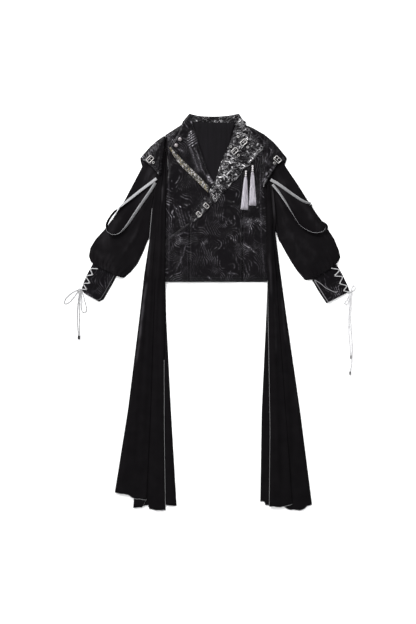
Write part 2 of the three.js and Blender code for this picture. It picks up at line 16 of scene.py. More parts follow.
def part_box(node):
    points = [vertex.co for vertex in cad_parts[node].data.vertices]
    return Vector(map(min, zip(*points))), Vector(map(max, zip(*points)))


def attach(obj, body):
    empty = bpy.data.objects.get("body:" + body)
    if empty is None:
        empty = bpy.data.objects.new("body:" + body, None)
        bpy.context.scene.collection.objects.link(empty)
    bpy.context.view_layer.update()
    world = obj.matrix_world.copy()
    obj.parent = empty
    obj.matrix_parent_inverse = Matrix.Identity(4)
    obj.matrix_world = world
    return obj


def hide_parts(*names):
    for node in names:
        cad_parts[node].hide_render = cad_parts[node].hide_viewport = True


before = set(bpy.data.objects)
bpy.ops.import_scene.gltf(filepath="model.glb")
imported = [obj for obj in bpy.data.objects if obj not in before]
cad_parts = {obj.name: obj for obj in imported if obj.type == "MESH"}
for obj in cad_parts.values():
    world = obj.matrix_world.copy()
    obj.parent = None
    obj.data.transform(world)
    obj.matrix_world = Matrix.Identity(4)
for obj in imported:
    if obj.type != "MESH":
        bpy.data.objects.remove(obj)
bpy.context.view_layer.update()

MM = 0.001
GAP = 0.3 * MM  # air between layers that touch
CLOTH = 0.8 * MM  # thickness of jacquard and lining
CREPE = 0.6 * MM
TAPE_WIDTH = 11 * MM
SIDES = ("right", "left")  # the wearer's
SIGN = {"right": -1, "left": 1}

# ---------------------------------------------------------------- camera

VIEW_HEIGHT = 2.184  # what the picture takes in, from top to bottom
VIEW_X = -0.026  # the picture's middle, beside the garment's centre line
CAMERA_HEIGHT = 6.0


def add_camera():
    """Straight above, as in the photo."""
    data = bpy.data.cameras.new("camera")
    data.sensor_fit = "VERTICAL"
    data.sensor_height = 36
    data.lens = data.sensor_height * CAMERA_HEIGHT / VIEW_HEIGHT
    camera = bpy.data.objects.new("camera", data)
    camera.location = (VIEW_X, 0, CAMERA_HEIGHT)
    bpy.context.scene.collection.objects.link(camera)
    bpy.context.scene.camera = camera


# ---------------------------------------------------------------- material nodes


class Look:
    """A material being made. add() makes a node, with numbers, colours or other sockets for inputs."""

    def __init__(self, name):
        self.material = bpy.data.materials.new(name)
        self.material.use_nodes = True
        self.tree = self.material.node_tree
        self.tree.nodes.clear()
        self.shader = self.tree.nodes.new("ShaderNodeBsdfPrincipled")
        output = self.tree.nodes.new("ShaderNodeOutputMaterial")
        self.tree.links.new(self.shader.outputs["BSDF"], output.inputs["Surface"])
        self.place = self.tree.nodes.new("ShaderNodeTexCoord").outputs["Object"]

    def set(self, node, name, value):
        socket = node.inputs[name]
        if isinstance(value, bpy.types.NodeSocket):
            self.tree.links.new(value, socket)
        else:
            socket.default_value = value

    def add(self, kind, output, inputs, **settings):
        node = self.tree.nodes.new(kind)
        for name, value in settings.items():
            setattr(node, name, value)
        for name, value in inputs.items():
            self.set(node, name, value)
        return node.outputs[output]

    def math(self, operation, a, b=0.0, c=0.0):
        return self.add("ShaderNodeMath", 0, {0: a, 1: b, 2: c}, operation=operation)

    def noise(self, at, scale, detail=2.0, roughness=0.5, output="Fac"):
        inputs = {"Vector": at, "Scale": scale, "Detail": detail, "Roughness": roughness}
        return self.add("ShaderNodeTexNoise", output, inputs)

    def wave(self, turns):
        """0 to 1 and back, once for every whole number that `turns` passes."""
        sine = self.math("SINE", self.math("MULTIPLY", turns, 2 * math.pi))
        return self.math("MULTIPLY_ADD", sine, 0.5, 0.5)

    def step(self, value, low, high):
        """0 below low, 1 above high, smooth between them."""
        inputs = {"Value": value, "From Min": low, "From Max": high}
        return self.add("ShaderNodeMapRange", "Result", inputs, interpolation_type="SMOOTHSTEP")

    def blend(self, amount, a, b):
        """A number between a and b."""
        return self.add("ShaderNodeMapRange", "Result", {"Value": amount, "To Min": a, "To Max": b})

    def colours(self, amount, *stops):
        """A colour from (position, colour) stops."""
        node = self.tree.nodes.new("ShaderNodeValToRGB")
        self.set(node, "Fac", amount)
        elements = node.color_ramp.elements
        while len(elements) < len(stops):
            elements.new(0.5)
        for element, (position, colour) in zip(elements, stops):
            element.position = position
            element.color = (*colour, 1)
        return node.outputs["Color"]

    def moved(self, at, offset):
        return self.add("ShaderNodeVectorMath", "Vector", {0: at, 1: offset}, operation="ADD")

    def scaled(self, at, factors):
        return self.add("ShaderNodeMapping", "Vector", {"Vector": at, "Scale": factors})

    def warped(self, at, scale, distance):
        """Coordinates pushed about by soft noise."""
        push = self.moved(self.noise(at, scale, 1.5, output="Color"), (-0.5, -0.5, -0.5))
        inputs = {0: push, "Scale": distance}
        return self.moved(at, self.add("ShaderNodeVectorMath", "Vector", inputs, operation="SCALE"))

    def attribute(self, name):
        return self.add("ShaderNodeAttribute", "Fac", {}, attribute_name=name)

    def across_and_along(self):
        """The UV map's two numbers: the share of the way across or round, and the metres along."""
        uv = self.add("ShaderNodeUVMap", "UV", {}, uv_map="UVMap")
        split = self.add("ShaderNodeSeparateXYZ", 0, {0: uv}).node
        return split.outputs[0], split.outputs[1]

    def bump(self, height, distance, strength):
        inputs = {"Height": height, "Distance": distance, "Strength": strength}
        return self.add("ShaderNodeBump", "Normal", inputs)

    def finish(self, **inputs):
        """Sets the shader's inputs, with _ for a space in their names."""
        for name, value in inputs.items():
            self.set(self.shader, name.replace("_", " "), value)
        return self.material


RIPPLE_DRIFT = (0.72, 0.36, 0.3)  # the way in which the ripples follow each other
RIPPLE_BENDS = 0.19  # how much the soft field bends them


def contours(look, place, spacing, wander):
    """A field that rises by 1 about every `spacing`: its whole numbers are winding contour lines."""
    at = look.warped(place, 15, wander)
    field = look.math("MULTIPLY", look.noise(at, 9, 1.0, 0.4), RIPPLE_BENDS / spacing)
    drift = look.add("ShaderNodeVectorMath", "Value", {0: at, 1: RIPPLE_DRIFT}, operation="DOT_PRODUCT")
    return look.math("MULTIPLY_ADD", drift, 1 / spacing, field)


def ripples(look, spacing, seed, wander=0.03):
    """The jacquard's figure, 0 to 1: winding lines, like ripples on water, about `spacing` apart.

    It fades where neighbouring lines are so far apart that one would be a blot.
    """
    place = look.moved(look.place, (seed, seed * 0.7, 0))
    turns = contours(look, place, spacing, wander)
    steepest = 0.0
    for beside in ((MM, 0, 0), (0, MM, 0)):
        change = look.math("SUBTRACT", contours(look, look.moved(place, beside), spacing, wander), turns)
        steepest = look.math("MAXIMUM", look.math("ABSOLUTE", change), steepest)
    return look.math("MULTIPLY", look.wave(turns), look.step(steepest, 0.034, 0.066))


def jacquard(name, seed=0.0, gloss=1.0):
    """Glossy black jacquard with embossed ripples.

    Where `shine` is painted the ripples get painted highlights, and creases painted with `glint` get painted
    highlights broken into specks.
    """
    look = Look(name)
    ridge = look.step(ripples(look, 7.6 * MM, seed), 0.58, 1.0)
    crushed = look.warped(look.place, 60, 0.012)
    crinkle = look.noise(crushed, 110, 3, 0.6)
    patches = look.step(look.noise(crushed, 34, 2, 0.6), 0.42, 0.62)
    grain = look.noise(look.place, 1400, 1)
    shine = look.attribute("shine")
    # Specks, and the ridges, that break up the painted highlights (lit and glint).
    highlight_specks = look.step(look.noise(crushed, 170, 2, 0.65), 0.36, 0.62)
    patchy = look.math("MULTIPLY", look.blend(highlight_specks, 0.2, 1.45), look.blend(ridge, 0.6, 1.15))
    glint = look.math("MULTIPLY", look.attribute("glint"), patchy)
    lit = look.math("MULTIPLY", ridge, look.math("MULTIPLY", patches, look.blend(shine, 0.1, 1.0)))
    lit = look.math("MULTIPLY", lit, look.blend(highlight_specks, 0.4, 1.45))
    raised = look.math("MULTIPLY", ridge, look.blend(shine, 0.4, 1.0))
    height = look.math("MULTIPLY_ADD", grain, 0.05, look.math("MULTIPLY_ADD", crinkle, 0.8, raised))
    tone = look.math("MAXIMUM", look.math("MULTIPLY", lit, 0.7), glint)
    colours = look.colours(
        tone, (0, (0.004, 0.0035, 0.0043)), (0.45, (0.072, 0.068, 0.077)), (1, (0.42, 0.41, 0.44)),
    )
    return look.finish(
        Base_Color=colours,
        Roughness=look.blend(lit, 0.32, 0.22),
        Normal=look.bump(height, 1.3 * MM, 0.8),
        Specular_IOR_Level=look.blend(lit, 0.09 * gloss, 0.3 * gloss),
    )


def foil(name, amount, seed=0.0):
    """Black jacquard whose ripples are woven in silver foil, crushed and worn into short winding strokes.

    amount is the share of the foil that is left. Where `shine` is painted more strokes show, as a painted
    sheen.
    Folds painted with `glint` get painted highlights all along.
    """
    look = Look(name)
    figure = ripples(look, 7 * MM, seed + 0.37, 0.08)
    crushed = look.warped(look.place, 48, 0.02)
    drawn = look.scaled(look.warped(look.place, 30, 0.022), (0.62, 1.35, 1))
    breaks = look.step(look.noise(crushed, 52, 3, 0.65), 0.55 - 0.1 * amount, 0.67 - 0.08 * amount)
    strokes = look.math("MULTIPLY", look.step(figure, 0.58, 0.96), breaks)
    curls = look.math("ABSOLUTE", look.math("SUBTRACT", look.noise(drawn, 82, 2.5, 0.55), 0.5))
    curls = look.math("MULTIPLY", look.step(curls, 0.028, 0.006), 0.2 + 0.66 * amount)
    strokes = look.math("MAXIMUM", strokes, curls)
    # How much of the foil is left, from wear.
    patchy = look.blend(look.step(look.noise(crushed, 24, 3, 0.7), 0.38, 0.62), 0.12 * amount, 0.92)
    # Where `shine` is painted, more strokes show as a painted sheen.
    silver = look.math("MULTIPLY", strokes, look.math("MAXIMUM", patchy, look.attribute("shine")))
    fold = look.noise(crushed, 150, 3, 0.65)
    # Painted highlights along the folds, where `glint` is painted.
    lines = look.math("MULTIPLY", look.attribute("glint"), look.blend(look.step(fold, 0.36, 0.6), 0.3, 1.1))
    silver = look.math("MAXIMUM", silver, lines)
    height = look.math("MULTIPLY_ADD", fold, 1.2, figure)
    colours = look.colours(
        silver, (0, (0.0042, 0.0037, 0.0045)), (0.4, (0.085, 0.083, 0.088)), (1, (0.92, 0.91, 0.93)),
    )
    return look.finish(
        Base_Color=colours,
        Metallic=look.blend(silver, 0.0, 0.3),
        Roughness=look.blend(silver, 0.34, 0.3),
        Normal=look.bump(height, 1.8 * MM, 0.85),
        Specular_IOR_Level=look.blend(silver, 0.08, 0.3),
    )


def crepe(name):
    """Matt black crepe, pebbled and faintly crinkled along its length, with painted highlights where `glint`
    is painted.
    """
    look = Look(name)
    weave = look.noise(look.scaled(look.place, (1, 0.7, 1)), 1500, 2, 0.6)
    crinkle = look.noise(look.scaled(look.place, (1, 0.12, 1)), 160, 2)
    height = look.math("MULTIPLY_ADD", crinkle, 0.5, weave)
    cloud = look.noise(look.place, 30, 2)
    lit = look.math("MULTIPLY", look.attribute("glint"), look.blend(crinkle, 0.4, 1.5))
    tone = look.math("MULTIPLY_ADD", lit, 0.7, look.math("MULTIPLY", cloud, 0.3))
    colours = look.colours(
        tone, (0.08, (0.0023, 0.0019, 0.0024)), (0.22, (0.0036, 0.0031, 0.0037)), (1, (0.03, 0.028, 0.031)),
    )
    return look.finish(
        Base_Color=colours,
        Roughness=look.blend(weave, 0.8, 0.95),
        Normal=look.bump(height, 0.5 * MM, 0.6),
        Specular_IOR_Level=0.04,
        Sheen_Weight=0.015,
        Sheen_Roughness=0.5,
    )


def lining(name):
    """Plain black lining with faint lengthwise ribs."""
    look = Look(name)
    ribs = look.noise(look.scaled(look.warped(look.place, 9, 0.01), (1, 0.05, 1)), 130, 2)
    weave = look.noise(look.place, 1700, 1)
    return look.finish(
        Base_Color=look.colours(ribs, (0.3, (0.0022, 0.0018, 0.0025)), (0.7, (0.0042, 0.0036, 0.0048))),
        Roughness=0.75,
        Normal=look.bump(look.math("MULTIPLY_ADD", ribs, 2, weave), 0.5 * MM, 0.6),
        Specular_IOR_Level=0.08,
    )


def brocade(name):
    """Flecks of antique gold, grey and silver thread, outlined in black."""
    look = Look(name)
    at = look.warped(look.place, 160, 0.004)
    flecks = {"Vector": at, "Scale": 210.0}
    edges = look.add("ShaderNodeTexVoronoi", "Distance", flecks, feature="DISTANCE_TO_EDGE")
    cells = look.add("ShaderNodeTexVoronoi", "Color", flecks)
    cell = look.add("ShaderNodeSeparateColor", 0, {"Color": cells})
    tone = look.math("MULTIPLY_ADD", look.noise(at, 70, 2), 0.7, look.math("MULTIPLY", cell, 0.55))
    tone = look.math("MULTIPLY", tone, look.blend(look.step(edges, 0.02, 0.16), 0.45, 1.0))
    threads = look.noise(look.scaled(look.place, (1, 0.25, 1)), 1300, 1)
    colours = look.colours(
        tone,
        (0.3, (0.008, 0.0075, 0.007)),
        (0.44, (0.04, 0.037, 0.034)),
        (0.55, (0.2, 0.165, 0.075)),
        (0.64, (0.13, 0.128, 0.13)),
        (0.86, (0.4, 0.39, 0.4)),
    )
    return look.finish(
        Base_Color=colours,
        Metallic=0.25,
        Roughness=look.blend(threads, 0.35, 0.6),
        Normal=look.bump(look.math("MULTIPLY_ADD", cell, 0.7, threads), 0.6 * MM, 0.8),
    )


def braid(name):
    """Silver flat braid: two slanting sets of strands that meet down the middle."""
    look = Look(name)
    across, along = look.across_and_along()
    folded = look.math("ABSOLUTE", look.math("SUBTRACT", across, 0.5))
    slant = look.math("MULTIPLY_ADD", folded, TAPE_WIDTH, along)
    strand = look.wave(look.math("DIVIDE", slant, 2.6 * MM))
    edge = look.step(folded, 0.36, 0.5)
    middle = look.step(folded, 0.05, 0.0)
    shade = look.math("SUBTRACT", strand, look.math("MULTIPLY", middle, 0.5))
    colours = look.colours(
        shade, (0, (0.08, 0.08, 0.085)), (0.45, (0.26, 0.26, 0.27)), (1, (0.42, 0.42, 0.43)),
    )
    return look.finish(
        Base_Color=colours,
        Roughness=look.blend(edge, 0.42, 0.6),
        Metallic=0.1,
        Normal=look.bump(shade, 0.6 * MM, 0.9),
    )


def thread(name, dark, light, pitch, roughness=0.55):
    """Twisted thread or lace, with a strand that goes once round in each `pitch`."""
    look = Look(name)
    around, along = look.across_and_along()
    strand = look.wave(look.math("MULTIPLY_ADD", along, 1 / pitch, around))
    return look.finish(
        Base_Color=look.colours(strand, (0, dark), (0.7, light)),
        Roughness=roughness,
        Normal=look.bump(strand, 0.3 * MM, 0.8),
        Specular_IOR_Level=0.3,
    )


def silk(name):
    """Pale lilac-silver tassel thread, streaked along its length."""
    look = Look(name)
    streaks = look.noise(look.scaled(look.place, (1, 0.02, 1)), 900, 2)
    return look.finish(
        Base_Color=look.colours(streaks, (0.34, (0.11, 0.1, 0.12)), (0.66, (0.5, 0.475, 0.525))),
        Roughness=0.38,
        Normal=look.bump(streaks, 0.4 * MM, 0.6),
        Sheen_Weight=0.3,
    )


def pearl(name, colour):
    """Cloudy pearl under a clear coat."""
    look = Look(name)
    cloud = look.noise(look.place, 260, 2)
    return look.finish(
        Base_Color=look.colours(cloud, (0.35, colour), (0.7, tuple(c * 1.35 for c in colour))),
        Roughness=look.blend(cloud, 0.16, 0.24),
        Coat_Weight=0.6,
        Coat_Roughness=0.08,
        Subsurface_Weight=0.15,
        Subsurface_Radius=(0.002, 0.002, 0.002),
    )


def nickel(name):
    """Scuffed nickel."""
    look = Look(name)
    scuff = look.noise(look.place, 700, 3, 0.7)
    return look.finish(
        Base_Color=look.colours(scuff, (0.3, (0.4, 0.39, 0.385)), (0.7, (0.56, 0.55, 0.54))),
        Metallic=0.75,
        Roughness=look.blend(scuff, 0.36, 0.48),
        Normal=look.bump(scuff, 0.05 * MM, 0.5),
    )


def plastic(name, colour, roughness):
    """One colour, faintly scuffed, for piping and aglets."""
    look = Look(name)
    scuff = look.noise(look.place, 900, 2)
    return look.finish(
        Base_Color=look.colours(scuff, (0.2, colour), (0.8, tuple(c * 1.5 for c in colour))),
        Roughness=look.blend(scuff, roughness, roughness + 0.15),
        Normal=look.bump(scuff, 0.05 * MM, 0.4),
    )


LOOKS = {
    "jacquard": jacquard("black_jacquard"),
    "jacquard_cap": jacquard("black_jacquard_caps", 0.31, 0.6),
    "jacquard_sleeve": jacquard("black_jacquard_cuffs", 0.53, 0.5),
    "foil": foil("silver_foil_jacquard", 0.8),
    "foil_dark": foil("dark_foil_jacquard", 0.65, 0.21),
    "foil_strap": foil("strap_foil_jacquard", 0.5, 0.13),
    "foil_faint": foil("faint_foil_jacquard", 0.14, 0.4),
    "crepe": crepe("black_crepe"),
    "lining": lining("black_lining"),
    "brocade": brocade("antique_brocade"),
    "braid": braid("silver_braid"),
    "braid_back": crepe("black_tape_back"),
    "lace": thread("silver_lace", (0.19, 0.19, 0.195), (0.5, 0.5, 0.51), 2.2 * MM),
    # The loose laces are the lacing's lace: darker on the right as painted shade, paler on the left as
    # painted light.
    "lace_loose_right": thread("grey_lace", (0.13, 0.13, 0.134), (0.42, 0.42, 0.427), 2.2 * MM),
    "lace_loose_left": thread("pale_lace", (0.36, 0.36, 0.367), (0.72, 0.72, 0.73), 2.2 * MM),
    "serging": thread("grey_serging", (0.06, 0.06, 0.062), (0.24, 0.24, 0.245), 1.5 * MM),
    "stitch": thread("black_thread", (0.01, 0.01, 0.011), (0.05, 0.048, 0.055), 0.8 * MM, 0.4),
    "piping": plastic("glossy_piping", (0.03, 0.029, 0.032), 0.25),
    "piping_silver": plastic("silver_piping", (0.16, 0.157, 0.165), 0.3),
    "silk": silk("tassel_silk"),
    "pearl": pearl("grey_pearl", (0.14, 0.126, 0.13)),
    "bead": pearl("white_pearl", (0.42, 0.4, 0.41)),
    "nickel": nickel("nickel"),
    "aglet": plastic("dark_aglet", (0.003, 0.003, 0.0035), 0.6),
}

# ---------------------------------------------------------------- lines


def smooth_line(route, per_span=8):
    """Points on the centripetal curve through a route, the same curve as the frame's cords follow."""
    points = [Vector(p) for p in route]
    before = points[0] * 2 - points[1]
    after = points[-1] * 2 - points[-2]
    padded = [before, *points, after]
    line = []
    for k in range(len(points) - 1):
        p0, p1, p2, p3 = padded[k : k + 4]
        d0, d1, d2 = ((b - a).length ** 0.5 for a, b in ((p0, p1), (p1, p2), (p2, p3)))
        t1 = ((p1 - p0) / d0 - (p2 - p0) / (d0 + d1) + (p2 - p1) / d1) * d1
        t2 = ((p2 - p1) / d1 - (p3 - p1) / (d1 + d2) + (p3 - p2) / d2) * d1
        for step in range(per_span):
            t = step / per_span
            cubic = (2 * t**3 - 3 * t**2 + 1) * p1 + (t**3 - 2 * t**2 + t) * t1
            line.append(cubic + (3 * t**2 - 2 * t**3) * p2 + (t**3 - t**2) * t2)
    return [*line, points[-1]]


def even_line(line, step):
    """The same line with points about `step` apart, ends kept."""
    lengths = [0.0]
    for a, b in zip(line, line[1:]):
        lengths.append(lengths[-1] + (b - a).length)
    count = max(1, round(lengths[-1] / step))
    result = []
    k = 0
    for n in range(count + 1):
        want = lengths[-1] * n / count
        while k < len(line) - 2 and lengths[k + 1] < want:
            k += 1
        span = max(lengths[k + 1] - lengths[k], 1e-12)
        result.append(line[k].lerp(line[k + 1], min(1, (want - lengths[k]) / span)))
    return result


def millimetres(route, height=0.0):
    """Points in metres from (x, y) pairs in millimetres, all at one height in millimetres."""
    return [Vector((x, y, height)) * MM for x, y in route]


# ---------------------------------------------------------------- outlines from the frame


def outline(node):
    """Corner points of a panel's top side, in order, from its CAD solid."""
    solid = bmesh.new()
    solid.from_mesh(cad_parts[node].data)
    bmesh.ops.remove_doubles(solid, verts=solid.verts, dist=1e-6)
    top = {face for face in solid.faces if face.normal.z > 0.5}
    rim = [edge for edge in solid.edges if sum(face in top for face in edge.link_faces) == 1]
    follow = {}
    for edge in rim:
        a, b = edge.verts
        follow.setdefault(a, []).append(b)
        follow.setdefault(b, []).append(a)
    start = rim[0].verts[0]
    loop = [start]
    came, here = None, start
    while True:
        onward = follow[here][0] if follow[here][0] is not came else follow[here][1]
        if onward is start:
            break
        loop.append(onward)
        came, here = here, onward
    points = [Vector((v.co.x, v.co.y)) for v in loop]
    solid.free()
    return points


CORNER = 33  # degrees. Where an outline turns by more, it has a corner.


def is_corner(before, here, after):
    a, b = here - before, after - here
    return a.length < 1e-6 or b.length < 1e-6 or a.angle(b) > math.radians(CORNER)


def rounded(loop, step):
    """A closed outline resampled about `step` apart: curved through its points, sharp at its corners."""
    size = len(loop)
    corners = [k for k in range(size) if is_corner(loop[k - 1], loop[k], loop[(k + 1) % size])] or [0]
    result = []
    for k, first in enumerate(corners):
        last = corners[(k + 1) % len(corners)]
        count = (last - first) % size or size
        stretch = [loop[(first + n) % size].to_3d() for n in range(count + 1)]
        line = smooth_line(stretch, 6) if len(stretch) > 2 else stretch
        result += even_line(line, step)[:-1]
    return [p.to_2d() for p in result]


SOLID_EDGES = {}  # by node, once they have been read


def solid_edges(node):
    """Ends of a CAD solid's edges, as two arrays."""
    if node not in SOLID_EDGES:
        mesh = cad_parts[node].data
        spots = np.array([v.co for v in mesh.vertices])
        pairs = np.array([e.vertices for e in mesh.edges])
        SOLID_EDGES[node] = (spots[pairs[:, 0]], spots[pairs[:, 1]])
    return SOLID_EDGES[node]


def section(node, at, along):
    """How far a solid reaches, low and high, from `at` in the direction `along`, in an upright plane."""
    ends_a, ends_b = solid_edges(node)
    along = Vector(along).normalized()
    normal = np.array((-along.y, along.x))
    middle = np.array((at[0], at[1]))
    side_a = (ends_a[:, :2] - middle) @ normal
    side_b = (ends_b[:, :2] - middle) @ normal
    crossing = (side_a * side_b <= 0) & (np.abs(side_a - side_b) > 1e-9)
    share = side_a[crossing] / (side_a[crossing] - side_b[crossing])
    hits = ends_a[crossing] + share[:, None] * (ends_b[crossing] - ends_a[crossing])
    reach = (hits[:, :2] - middle) @ np.array((along.x, along.y))
    return float(reach.min()), float(reach.max())


# ---------------------------------------------------------------- meshes


def new_object(name, points, faces, look, uvs=None, looks=None):
    """A smooth-shaded mesh object. uvs holds one (u, v) a point; looks gives each face a material index."""
    mesh = bpy.data.meshes.new(name)
    mesh.from_pydata([tuple(p) for p in points], [], faces)
    mesh.update()
    mesh.shade_smooth()
    if uvs is not None:
        layer = mesh.uv_layers.new(name="UVMap")
        for loop in mesh.loops:
            layer.data[loop.index].uv = uvs[loop.vertex_index]
    made = bpy.data.objects.new(name, mesh)
    bpy.context.scene.collection.objects.link(made)
    for each in look if isinstance(look, (list, tuple)) else [look]:
        mesh.materials.append(LOOKS[each])
    if looks is not None:
        mesh.polygons.foreach_set("material_index", looks)
    return made


def paint(made, name, values):
    """A number on each point of a mesh, which its material reads."""
    layer = made.data.attributes.new(name, "FLOAT", "POINT")
    layer.data.foreach_set("value", [float(v) for v in values])


def facing_up(points, faces):
    """Whether faces of an open sheet are wound to look upwards, on the whole."""
    total = 0.0
    for face in faces[: max(1, len(faces) // 3)]:
        a, b, c = (points[k] for k in face[:3])
        total += (b[0] - a[0]) * (c[1] - a[1]) - (b[1] - a[1]) * (c[0] - a[0])
    return total > 0


def grid_faces(rows, columns, ring=False):
    """Quads of a grid of points, row by row. ring joins the last column to the first."""
    faces = []
    spans = columns if ring else columns - 1
    for i in range(rows - 1):
        for j in range(spans):
            k = (j + 1) % columns
            faces.append((i * columns + j, i * columns + k, (i + 1) * columns + k, (i + 1) * columns + j))
    return faces


def normals_of(points, faces):
    """A normal at each point, as the sum of its faces' normals."""
    spots = np.array([tuple(p) for p in points])
    total = np.zeros_like(spots)
    for face in faces:
        a, b, c = spots[face[0]], spots[face[1]], spots[face[2]]
        normal = np.cross(b - a, c - a)
        if len(face) == 4:
            normal = normal + np.cross(c - a, spots[face[3]] - a)
        for k in face:
            total[k] += normal
    lengths = np.linalg.norm(total, axis=1)
    return total / np.maximum(lengths, 1e-12)[:, None]


def turned_up(points, faces, k):
    """The faces, all turned over if point k looks down."""
    if normals_of(points, faces)[k][2] < 0:
        return [tuple(reversed(face)) for face in faces]
    return faces


def rim_edges(faces):
    """Directed edges that belong to one face only."""
    seen = {}
    for face in faces:
        for a, b in zip(face, face[1:] + face[:1]):
            if (b, a) in seen:
                del seen[b, a]
            else:
                seen[a, b] = True
    return list(seen)


def thick(name, points, faces, thickness, look, straight_up=False, uvs=None, under=None):
    """A closed shell: `points` and `faces` are one side of the cloth, and the other is `thickness` behind.

    straight_up takes the given side as the underside of a flat sheet, and puts the other side above it.
    under is a second look for the side behind.
    """
    spots = np.array([tuple(p) for p in points])
    count = len(spots)
    if straight_up:
        if not facing_up(points, faces):
            faces = [tuple(reversed(f)) for f in faces]
        front = spots + np.array((0, 0, thickness))
        behind = spots
    else:
        front = spots
        behind = spots - normals_of(points, faces) * thickness
    body = [tuple(f) for f in faces]
    body += [tuple(k + count for k in reversed(f)) for f in faces]
    body += [(b, a, a + count, b + count) for a, b in rim_edges(body[: len(faces)])]
    both = np.concatenate([front, behind])
    doubled = None if uvs is None else [*uvs, *uvs]
    if under is None:
        return new_object(name, both, body, look, doubled)
    looks = [0] * len(faces) + [1] * len(faces) + [0] * (len(body) - 2 * len(faces))
    return new_object(name, both, body, [look, under], doubled, looks)


def tube(line, radius, sides=8, closed=False, flat=1.0):
    """Points, faces and (u, v) of a tube along a line: u goes once round, v is the length in metres."""
    radii = radius if isinstance(radius, list) else [radius] * len(line)
    points, uvs = [], []
    along = 0.0
    count = len(line)
    for k, centre in enumerate(line):
        ahead = line[(k + 1) % count] if closed or k + 1 < count else centre
        back = line[k - 1] if closed or k else centre
        tangent = (ahead - back).normalized()
        side = tangent.cross(Vector((0, 0, 1)))
        side = side.normalized() if side.length > 1e-3 else Vector((1, 0, 0))
        rise = side.cross(tangent) * flat
        if k:
            along += (centre - line[k - 1]).length
        for n in range(sides):
            angle = 2 * math.pi * n / sides
            points.append(centre + (side * math.cos(angle) + rise * math.sin(angle)) * radii[k])
            uvs.append((n / sides, along))
    faces = grid_faces(count, sides, ring=True)
    if closed:
        last = (count - 1) * sides
        faces += [(last + n, last + (n + 1) % sides, (n + 1) % sides, n) for n in range(sides)]
    else:
        faces.append(tuple(reversed(range(sides))))
        faces.append(tuple(range((count - 1) * sides, count * sides)))
    return points, faces, uvs


def joined(name, parts, look):
    """One object from several (points, faces, uvs)."""
    points, faces, uvs = [], [], []
    for some_points, some_faces, some_uvs in parts:
        shift = len(points)
        points += some_points
        faces += [tuple(k + shift for k in f) for f in some_faces]
        uvs += some_uvs
    return new_object(name, points, faces, look, uvs)


def turned(profile, centre, sides, axis="Z"):
    """Points, faces and uvs of a solid turned about Z or Y, from (radius, height) points."""
    points, uvs = [], []
    for radius, height in profile:
        for n in range(sides):
            angle = 2 * math.pi * n / sides
            spot = Vector((radius * math.cos(angle), radius * math.sin(angle), height))
            if axis == "Y":
                spot = Vector((spot.x, -spot.z, spot.y))
            points.append(Vector(centre) + spot)
            uvs.append((n / sides, height))
    faces = grid_faces(len(profile), sides, ring=True)
    faces.append(tuple(reversed(range(sides))))
    faces.append(tuple(range((len(profile) - 1) * sides, len(profile) * sides)))
    return points, faces, uvs


# ---------------------------------------------------------------- laying cloth


class Pile:
    """What already lies on the table. top() is the height of its upper side at a point."""

    def __init__(self):
        self.layers = []

    def add(self, made):
        mesh = made.data
        spots = [v.co.copy() for v in mesh.vertices]
        tree = BVHTree.FromPolygons(spots, [tuple(p.vertices) for p in mesh.polygons])
        xs = [p.x for p in spots]
        ys = [p.y for p in spots]
        self.layers.append((tree, min(xs), max(xs), min(ys), max(ys)))

    def top(self, x, y):
        best = 0.0
        for tree, x0, x1, y0, y1 in self.layers:
            if x0 <= x <= x1 and y0 <= y <= y1:
                spot = tree.ray_cast(Vector((x, y, 0.2)), Vector((0, 0, -1)))[0]
                if spot is not None and spot.z > best:
                    best = spot.z
        return best

    def near(self, x, y, reach=2 * MM):
        """The highest top at a point and `reach` to each side of it."""
        spots = ((0, 0), (reach, 0), (-reach, 0), (0, reach), (0, -reach))
        return max(self.top(x + dx, y + dy) for dx, dy in spots)


PILE = Pile()


def links_of(faces):
    """Pairs of neighbouring points."""
    pairs = set()
    for face in faces:
        for a, b in zip(face, face[1:] + face[:1]):
            pairs.add((min(a, b), max(a, b)))
    return np.array(sorted(pairs))


def settle(spots, faces, lift=GAP, slope=0.3, rounds=24, soften=6):
    """Heights of a cloth's underside. It lies on the pile, and comes down off it by `slope` at most."""
    base = np.array([PILE.near(x, y) for x, y in spots]) + lift
    height = base.copy()
    links = links_of(faces)
    a, b = links[:, 0], links[:, 1]
    flat = np.array([tuple(p) for p in spots])
    drop = slope * np.linalg.norm(flat[a] - flat[b], axis=1)
    for _ in range(rounds):
        np.maximum.at(height, a, height[b] - drop)
        np.maximum.at(height, b, height[a] - drop)
    count = np.bincount(links.ravel(), minlength=len(spots))
    for _ in range(soften):
        total = np.zeros(len(spots))
        np.add.at(total, a, height[b])
        np.add.at(total, b, height[a])
        height = np.maximum(base, 0.4 * height + 0.6 * total / count)
    return height


def filled(loop, step):
    """Flat triangles inside a closed outline: points, faces and each point's distance from the edge."""
    ring = np.array([tuple(p) for p in loop])
    ahead = np.roll(ring, -1, axis=0)
    low, high = ring.min(0), ring.max(0)
    rows = np.arange(low[1] + step / 2, high[1], step * 0.866)
    spots = []
    for k, y in enumerate(rows):
        xs = np.arange(low[0] + step * (0.5 + 0.5 * (k % 2)), high[0], step)
        spots += [(x, y) for x in xs]
    spots = np.array(spots)
    inside = np.zeros(len(spots), bool)
    for (ax, ay), (bx, by) in zip(ring, ahead):
        if ay == by:
            continue
        between = (spots[:, 1] > min(ay, by)) & (spots[:, 1] <= max(ay, by))
        cross = ax + (spots[:, 1] - ay) * (bx - ax) / (by - ay)
        inside ^= between & (spots[:, 0] < cross)
    spots = spots[inside]
    spots = spots[edge_distance(spots, ring) > 0.55 * step]
    seeds = [Vector(p) for p in (*ring.tolist(), *spots.tolist())]
    rim = [(k, (k + 1) % len(ring)) for k in range(len(ring))]
    points, _, faces, *_ = geometry.delaunay_2d_cdt(seeds, rim, [], 1, 1e-7)
    flat = np.array([tuple(p) for p in points])
    return flat, [tuple(f) for f in faces], edge_distance(flat, ring)


